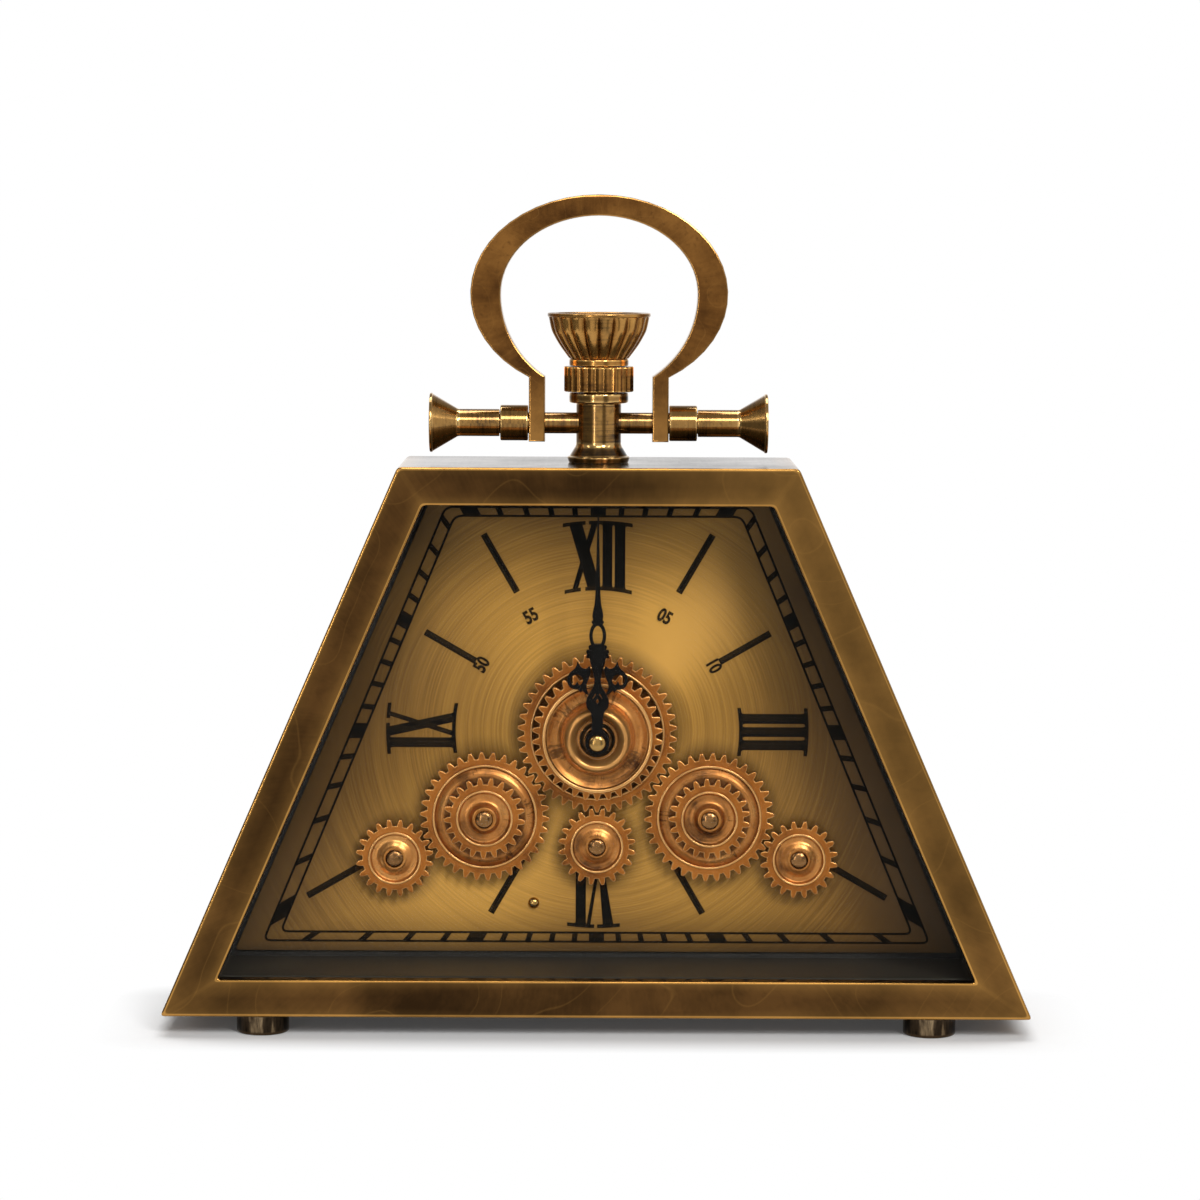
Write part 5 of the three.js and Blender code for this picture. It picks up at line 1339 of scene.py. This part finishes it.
quarter_turns = [(1, 0), (0, 1), (-1, 0), (0, -1)]
slot_corner = [(SLOT_REACH, -SLOT_HALF), (SLOT_REACH, SLOT_HALF), (SLOT_HALF, SLOT_HALF)]
crossed_slot = [(x * c - y * s, x * s + y * c) for c, s in quarter_turns for x, y in slot_corner]
for screw in SCREWS:
    low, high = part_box(screw)
    spot = Vector(((low.x + high.x) / 2, high.y, (low.z + high.z) / 2))
    end = low.y - high.y
    shank = softened([(0, end, 0), (SCREW_SHANK, end, FOLD_ROUNDING), (SCREW_SHANK, -SCREW_HEAD_HEIGHT, 0),
                      (SCREW_HEAD, -SCREW_HEAD_HEIGHT, SCREW_EDGE), (SCREW_HEAD, -SLOT_DEPTH, 0)])
    floor_of_slot = [(SCREW_HEAD, -SLOT_DEPTH, 0.0), (0, -SLOT_DEPTH, 0.0)]
    face = plate([oval(SCREW_HEAD, SCREW_HEAD, 48), crossed_slot], SLOT_DEPTH, SLOT_EDGE,
                 (spot.x, high.y - SLOT_DEPTH, spot.z), TO_BACK)
    screw_parts = [turned(profile, spot, TO_BACK, 48) for profile in (shank, floor_of_slot)] + [face]
    shown(f"{screw}_zinc", [(part, zinc_steel) for part in screw_parts], "case", screw)
dress("stem_nut", zinc_steel)


# Stem: a turned brass post with a flared foot and a collar, lacquered over fine lathe rings.
# It is screwed through the top of the case, and a spigot on its collar carries the crown.
POST_RADIUS = 8.6 * MM
POST_GAP = 0.1 * MM
FLANGE_RADIUS = 12 * MM
FLANGE_EDGE = 2.2 * MM
FLANGE_UNDERCUT = 0.6 * MM
FLANGE_ROUNDING = 0.8 * MM
FLANGE_STEP = 0.9 * MM
FLANGE_TOP = 6.6 * MM
THROAT_ROUNDING = 0.9 * MM
SEAT_ROUNDING = 0.5 * MM
COLLAR_RADIUS = 11.3 * MM
COLLAR_ABOVE_AXIS = 7.7 * MM
COLLAR_THICKNESS = 4 * MM
COLLAR_ROUNDING = 0.9 * MM
SPIGOT_RADIUS = 5.65 * MM
SPIGOT_IN_CUP = 6 * MM
turned_brass = tuned(worn_metal(
    "turned_brass", (50, 34, 15), (154, 113, 54), (176, 133, 70), (214, 172, 104), brush=(20, 900),
    shine=(0.11, 0.22), cloud=60, streaks=0.4), {"Metallic": 0.9, "Coat Weight": 0.4, "Coat Roughness": 0.08})
axis_height = axes["handle_swing"].z
collar_foot = axis_height + COLLAR_ABOVE_AXIS - case_high.z
collar_top = collar_foot + COLLAR_THICKNESS
spigot_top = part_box("crown_cup")[0].z - case_high.z + SPIGOT_IN_CUP
profile = softened([
    (0, POST_GAP, 0),
    (FLANGE_RADIUS - FLANGE_UNDERCUT, POST_GAP, FOLD_ROUNDING),
    (FLANGE_RADIUS, FLANGE_EDGE, FLANGE_ROUNDING),
    (FLANGE_RADIUS - FLANGE_STEP, FLANGE_EDGE + FLANGE_STEP / 3, FOLD_ROUNDING),
    (POST_RADIUS, FLANGE_TOP, THROAT_ROUNDING),
    (POST_RADIUS, collar_foot, SEAT_ROUNDING),
    (COLLAR_RADIUS, collar_foot, COLLAR_ROUNDING),
    (COLLAR_RADIUS, collar_top, COLLAR_ROUNDING),
    (SPIGOT_RADIUS, collar_top, 0),
    (SPIGOT_RADIUS, spigot_top, 0),
    (0, spigot_top, 0),
])
turned_piece("stem_turned", "stem_post", profile, (0, 0, case_high.z), UP, turned_brass)


# Crown: a ribbed ring and above it a fluted cup with a dished top, both turned brass with cut flutes.
# They copy the winding crown of a pocket watch and are clamped on the spigot of the stem.
RING_RIBS = 28
RING_RIB_DEPTH = 0.7 * MM
RING_RADIUS = 13.2 * MM
CROWN_BORE = 5.3 * MM
CROWN_EDGE = 0.5 * MM
FLUTES = 20
FLUTE_DEPTH = 1.5 * MM
FLUTE_AT_NECK = 0.5
FLUTE_AT_RIM = 0.4
FLUTE_FADE = 0.9
LOBE_RUB = 0.3
RIM_RUB = 0.45
CUP_NECK_RADIUS = 11.3 * MM
CUP_NECK_HEIGHT = 2.8 * MM
CUP_NECK_ROUNDING = 0.4 * MM
CUP_NECK_BEVEL = (0.7 * MM, 0.5 * MM)
CUP_RADIUS = 19.6 * MM
RIM_HEIGHT = 1.5 * MM
RIM_ROUNDING = 0.7 * MM
RIM_STEP = 0.3 * MM
RIM_STEP_ROUNDING = 0.2 * MM
BELL = ((11.4, 0), (12.6, 0.1), (14.9, 0.3), (16.8, 0.5), (18.3, 0.7), (19.3, 1))
BELL_STEPS = 4
RECESS_DEPTH = 3 * MM
RECESS_RADIUS = 16.6 * MM
RECESS_SLOPE = 1.2 * MM
RECESS_ROUNDING = 0.6 * MM
crown_brass = tuned(worn_metal(
    "crown_brass", (56, 36, 16), (156, 108, 49), (178, 128, 62), (220, 172, 98), brush=(30, 700),
    shine=(0.17, 0.28), cloud=60, streaks=0.3, relief=0.08), {"Metallic": 0.82})


def plain_tube(bore, radius, length, edge):
    """The profile of a straight tube or rod with rounded edges."""
    return softened([(bore, 0, 0), (radius, 0, edge), (radius, length, edge), (bore, length, 0)])


profile = plain_tube(CROWN_BORE, RING_RADIUS, size_of("crown_ring")[2], CROWN_EDGE)
ring_spot = (0, 0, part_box("crown_ring")[0].z)
turned_piece("crown_ring_ribbed", "crown_ring", profile, ring_spot, UP, crown_brass,
             segments=8 * RING_RIBS, swell=ribs(profile, RING_RIBS, RING_RIB_DEPTH))

cup_height = size_of("crown_cup")[2]
bell_top = cup_height - RIM_HEIGHT
recess_floor = cup_height - RECESS_DEPTH
neck = softened([
    (CROWN_BORE, 0, 0),
    (CUP_NECK_RADIUS, 0, CUP_NECK_ROUNDING),
    (CUP_NECK_RADIUS, CUP_NECK_HEIGHT - CUP_NECK_BEVEL[1], CUP_NECK_ROUNDING),
    (CUP_NECK_RADIUS - CUP_NECK_BEVEL[0], CUP_NECK_HEIGHT, 0),
])
bell = flowing(drawn(BELL, MM, CUP_NECK_HEIGHT, bell_top - CUP_NECK_HEIGHT), LOBE_RUB, BELL_STEPS)
lip = softened([
    bell[-1],
    (CUP_RADIUS, bell_top + RIM_STEP, RIM_STEP_ROUNDING),
    (CUP_RADIUS, cup_height, RIM_ROUNDING),
    (RECESS_RADIUS, cup_height, CROWN_EDGE),
    (RECESS_RADIUS - RECESS_SLOPE, recess_floor, RECESS_ROUNDING),
    (0, recess_floor, 0),
])[1:]


def flutes(angle, row):
    """Rounded lobes with sharp valleys between them, shallower at the neck and under the rim."""
    share = (row - len(neck)) / (len(bell) - 1)
    if not 0 <= share <= 1:
        return 0
    at_rim = (1 - FLUTE_AT_RIM) * max(0, (share - FLUTE_FADE) / (1 - FLUTE_FADE))
    depth = FLUTE_DEPTH * min(1, FLUTE_AT_NECK + 2 * share) * (1 - at_rim)
    from_crest = abs((FLUTES * angle / math.pi) % 2 - 1)
    return -depth * (1 - math.sqrt(1 - min(1, from_crest) ** 2))


profile = neck + bell + [(radius, height, RIM_RUB * rub) for radius, height, rub in lip]
cup_spot = (0, 0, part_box("crown_cup")[0].z)
turned_piece("crown_cup_fluted", "crown_cup", profile, cup_spot, UP, crown_brass,
             segments=16 * FLUTES, swell=flutes)


# Cross bar: a brass rod through the stem, with a sleeve and a trumpet end on either side.
# The ends are turned, screwed on the rod and rubbed bright on their rims.
BAR_RADIUS = 4.05 * MM
BAR_EDGE = 0.3 * MM
SLEEVE_EDGE = 0.5 * MM
SHANK_RADIUS = 5.2 * MM
SHANK_LENGTH = 15.8 * MM
SHANK_ROUNDING = 0.6 * MM
TRUMPET_RIM = 1.2 * MM
TRUMPET_DISH = 1.2 * MM
TRUMPET_EDGE = 0.4 * MM
TRUMPET_LIP = 1.6 * MM
DISH_SLOPE = 0.8 * MM
DISH_ROUNDING = 0.5 * MM
TO_LEFT = Matrix(((0, 0, -1), (-1, 0, 0), (0, 1, 0)))


def bar_spot(node, side):
    """The end of a piece of the cross bar that lies nearest to the stem."""
    low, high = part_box(node)
    return (high.x if side == "left" else low.x, 0, axis_height)


profile = plain_tube(0, BAR_RADIUS, size_of("cross_bar")[0], BAR_EDGE)
turned_piece("cross_bar_rod", "cross_bar", profile, bar_spot("cross_bar", "right"), TO_RIGHT,
             turned_brass, segments=64)
for side, facing in (("left", TO_LEFT), ("right", TO_RIGHT)):
    sleeve, bar_end = f"sleeve_{side}", f"bar_end_{side}"
    length, width, _ = size_of(sleeve)
    profile = plain_tube(BAR_RADIUS, width / 2, length, SLEEVE_EDGE)
    turned_piece(f"{sleeve}_turned", sleeve, profile, bar_spot(sleeve, side), facing,
                 turned_brass)
    length, width, _ = size_of(bar_end)
    mouth = width / 2
    profile = softened([
        (BAR_RADIUS, 0, 0),
        (SHANK_RADIUS, 0, BAR_EDGE),
        (SHANK_RADIUS, SHANK_LENGTH, SHANK_ROUNDING),
        (mouth - TRUMPET_EDGE, length - TRUMPET_RIM, TRUMPET_EDGE),
        (mouth, length - 0.8 * TRUMPET_RIM, BAR_EDGE),
        (mouth, length, TRUMPET_EDGE),
        (mouth - TRUMPET_LIP, length, TRUMPET_EDGE),
        (mouth - TRUMPET_LIP - DISH_SLOPE, length - TRUMPET_DISH, DISH_ROUNDING),
        (0, length - TRUMPET_DISH, 0),
    ])
    turned_piece(f"trumpet_{side}_turned", bar_end, profile, bar_spot(bar_end, side), facing,
                 turned_brass)


# Bow handle: an oval loop cut from thick brass plate, filed, brushed across and rubbed bright on its edges.
# Its two legs are bored for the cross bar, on which it swings.
BOW_BEVEL = 0.7 * MM
BOW_HALF_WIDTH = 48.9 * MM
BOW_RISE = 37.6 * MM
BOW_CENTRE = 49.1 * MM
BOW_SIDE_BAND = 11.5 * MM
BOW_TOP_BAND = 8 * MM
BOW_LOWER_INNER_RISE = 37.4 * MM
BOW_STEPS = 40
LEG_INNER = 20.4 * MM
LEG_OUTER = 26.6 * MM
LEG_BELOW = 6.9 * MM
# Painted highlight on the legs of the bow.
PAINTED_LEG_HIGHLIGHT = 0.4
LEG_TOP = BOW_CENTRE - 0.9 * BOW_RISE
bow_brass = worn_metal(
    "bow_brass", (72, 45, 21), (108, 71, 33), (142, 97, 47), (196, 145, 78), brush=(30, 500),
    shine=(0.17, 0.28), cloud=40, streaks=0.15, relief=0.08, hairlines=0.1)


def bow_arc(half, rise, start, end):
    """Points of an oval about the middle of the bow."""
    turns = [start + (end - start) * step / BOW_STEPS for step in range(BOW_STEPS + 1)]
    return [(half * math.cos(turn), BOW_CENTRE + rise * math.sin(turn)) for turn in turns]


def across_bow(x, y):
    """Brush lines that run across the bow, and along its legs."""
    return (math.hypot(x, y - BOW_CENTRE), BOW_HALF_WIDTH * math.atan2(x, y - BOW_CENTRE))


inner_half = BOW_HALF_WIDTH - BOW_SIDE_BAND
outer_turn = math.acos(LEG_OUTER / BOW_HALF_WIDTH)
inner_turn = math.acos(LEG_INNER / inner_half)
bow_loop = [
    (LEG_OUTER, -LEG_BELOW),
    *bow_arc(BOW_HALF_WIDTH, BOW_RISE, -outer_turn, math.pi + outer_turn),
    (-LEG_OUTER, -LEG_BELOW),
    (-LEG_INNER, -LEG_BELOW),
    *bow_arc(inner_half, BOW_LOWER_INNER_RISE, math.pi + inner_turn, math.pi)[:-1],
    *bow_arc(inner_half, BOW_RISE - BOW_TOP_BAND, math.pi, 0)[:-1],
    *bow_arc(inner_half, BOW_LOWER_INNER_RISE, 0, -inner_turn),
    (LEG_INNER, -LEG_BELOW),
]
bow_spot = rear_of("bow_handle", "handle_swing")
bow_points, bow_faces, bow_grain, bow_rub_and_highlight = plate(
    [bow_loop], size_of("bow_handle")[1], BOW_BEVEL, bow_spot, TO_FRONT, across_bow)
# The legs below the top of their bores get a painted highlight.
bow_rub_and_highlight = [max(rub, PAINTED_LEG_HIGHLIGHT if point[2] < axis_height + LEG_TOP else 0)
            for point, rub in zip(bow_points, bow_rub_and_highlight)]
shown("bow_brushed", [((bow_points, bow_faces, bow_grain, bow_rub_and_highlight), bow_brass)], "handle", "bow_handle")


# Studio: a white floor under the clock that fades into a white room, dim to the sides in reflections.
# A tall key box stands on the right, a strip on either side, a narrow strip low on the left,
# and one box each in front and above. The dim sides give the turned brass its dark bands.
FLOOR_MARGIN = 0.3
FLOOR_GREY = (0.8, 0.8, 0.8, 1)
FLOOR_DULLNESS = 0.9
FLOOR_GLOW = 0.04
FLOOR_FADE = (0.002, 0.026)
WHITE = (1, 1, 1, 1)
ROOM_ROUND = ((-180, 0.25), (-120, 0.25), (-90, 0.1), (-34, 0.1), (-26, 0.85), (15, 0.85), (22, 0.14),
              (32, 0.14), (42, 0.9), (92, 0.9), (106, 0.12), (130, 0.25), (180, 0.25))
ROOM_BACK = (0.8, 0.92)
ROOM_RISE = (0.06, 0.22)
ROOM_UPPER = 0.4
CEILING_RISE = (0.4, 0.8)
ROOM_ABOVE = 0.4
ROOM_LIGHT = 0.12
MIDDLE_OF_CLOCK = Vector((0, 0, 0.14))
LAMPS = {
    "key_soft_box": ((0.8, -1.6, 1.15), 0.4, 0.8, 21),
    "left_strip": ((-1.7, -1.1, 1.35), 0.3, 0.9, 4),
    "right_strip": ((1.7, -1.1, 1.35), 0.3, 0.9, 3),
    "narrow_strip": ((-0.62, -1.55, 0.3), 0.06, 0.8, 2.2),
    "front_soft_box": ((0, -1.3, 1.15), 0.5, 0.45, 6),
    "top_soft_box": ((0, 0.45, 1.9), 1.6, 0.9, 26),
}
CAMERA_LENS = 110.88
CAMERA_SENSOR = 36
CAMERA_PLACE = (0.8 * MM, -1410.4 * MM, 304.3 * MM)
CAMERA_PITCH = math.radians(5.717)
CAMERA_ROLL = math.radians(0.25)

white, tree, shader = new_finish("white_sweep")
fill(tree, shader, {"Base Color": FLOOR_GREY, "Roughness": FLOOR_DULLNESS})
plain = shader.outputs["BSDF"]
glow, far_white = (add(tree, "ShaderNodeEmission", {"Color": WHITE, "Strength": strength}).outputs["Emission"]
                   for strength in (FLOOR_GLOW, 1))
glowing = add(tree, "ShaderNodeAddShader", {0: plain, 1: glow}).outputs["Shader"]
folded = reckon_place(tree, "ABSOLUTE", own_place(tree))
past = reckon_place(tree, "SUBTRACT", folded, (BASE_HALF, depth_of_case / 2, 0))
away = reckon_place(tree, "LENGTH", reckon_place(tree, "MAXIMUM", past, (0, 0, 0)))
fading = shared(tree, spread(tree, away, *FLOOR_FADE, 0, 1), glowing, far_white)
rays = add(tree, "ShaderNodeLightPath").outputs
seen = reckon(tree, "MAXIMUM", rays["Is Camera Ray"], rays["Is Glossy Ray"])
seen = reckon(tree, "MAXIMUM", seen, rays["Is Transmission Ray"])
fill(tree, tree.nodes["Material Output"], {"Surface": shared(tree, seen, plain, fading)})

floor_mesh = bpy.data.meshes.new("floor")
x, y = BASE_HALF + FLOOR_MARGIN, depth_of_case / 2 + FLOOR_MARGIN
floor_mesh.from_pydata([(-x, -y, 0), (x, -y, 0), (x, y, 0), (-x, y, 0)], [], [(0, 1, 2, 3)])
floor_mesh.materials.append(white)
floor = bpy.data.objects.new("floor", floor_mesh)
bpy.context.scene.collection.objects.link(floor)
floor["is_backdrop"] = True

world = bpy.data.worlds.new("studio")
bpy.context.scene.world = world
world.use_nodes = True
tree = world.node_tree
rays = add(tree, "ShaderNodeLightPath").outputs
way = split(tree, add(tree, "ShaderNodeTexCoord").outputs["Generated"])
round_clock = reckon(tree, "ARCTAN2", way["X"], reckon(tree, "MULTIPLY", way["Y"], -1))
stops = [((angle + 180) / 360, (level, level, level, 1)) for angle, level in ROOM_ROUND]
front = ramp(tree, spread(tree, round_clock, -math.pi, math.pi, 0, 1), stops)
sides = reckon(tree, "MAXIMUM", front, spread(tree, way["Z"], *ROOM_RISE, 0, ROOM_UPPER))
walls = reckon(tree, "MAXIMUM", sides, spread(tree, way["Y"], *ROOM_BACK, 0, 1))
room = reckon(tree, "MULTIPLY", walls, spread(tree, way["Z"], *CEILING_RISE, 1, ROOM_ABOVE))
straight = reckon(tree, "MAXIMUM", rays["Is Camera Ray"], rays["Is Transmission Ray"])
ambient = reckon(tree, "MAXIMUM", reckon(tree, "MULTIPLY", rays["Is Glossy Ray"], room), ROOM_LIGHT)
shine = reckon(tree, "MAXIMUM", ambient, straight)
fill(tree, tree.nodes["Background"], {"Color": WHITE, "Strength": shine})

for name, (place, width, height, power) in LAMPS.items():
    lamp = bpy.data.lights.new(name, "AREA")
    lamp.shape = "RECTANGLE"
    lamp.size = width
    lamp.size_y = height
    lamp.energy = power
    holder = bpy.data.objects.new(name, lamp)
    holder.location = place
    holder.rotation_euler = (MIDDLE_OF_CLOCK - Vector(place)).to_track_quat("-Z", "Y").to_euler()
    bpy.context.scene.collection.objects.link(holder)

lens = bpy.data.cameras.new("camera")
lens.lens = CAMERA_LENS
lens.sensor_width = CAMERA_SENSOR
camera = bpy.data.objects.new("camera", lens)
tilt = Matrix.Rotation(math.pi / 2 - CAMERA_PITCH, 4, "X")
camera.matrix_world = Matrix.Translation(CAMERA_PLACE) @ tilt @ Matrix.Rotation(CAMERA_ROLL, 4, "Z")
bpy.context.scene.collection.objects.link(camera)
bpy.context.scene.camera = camera
bpy.context.scene.view_settings.view_transform = "Standard"

low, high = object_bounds()
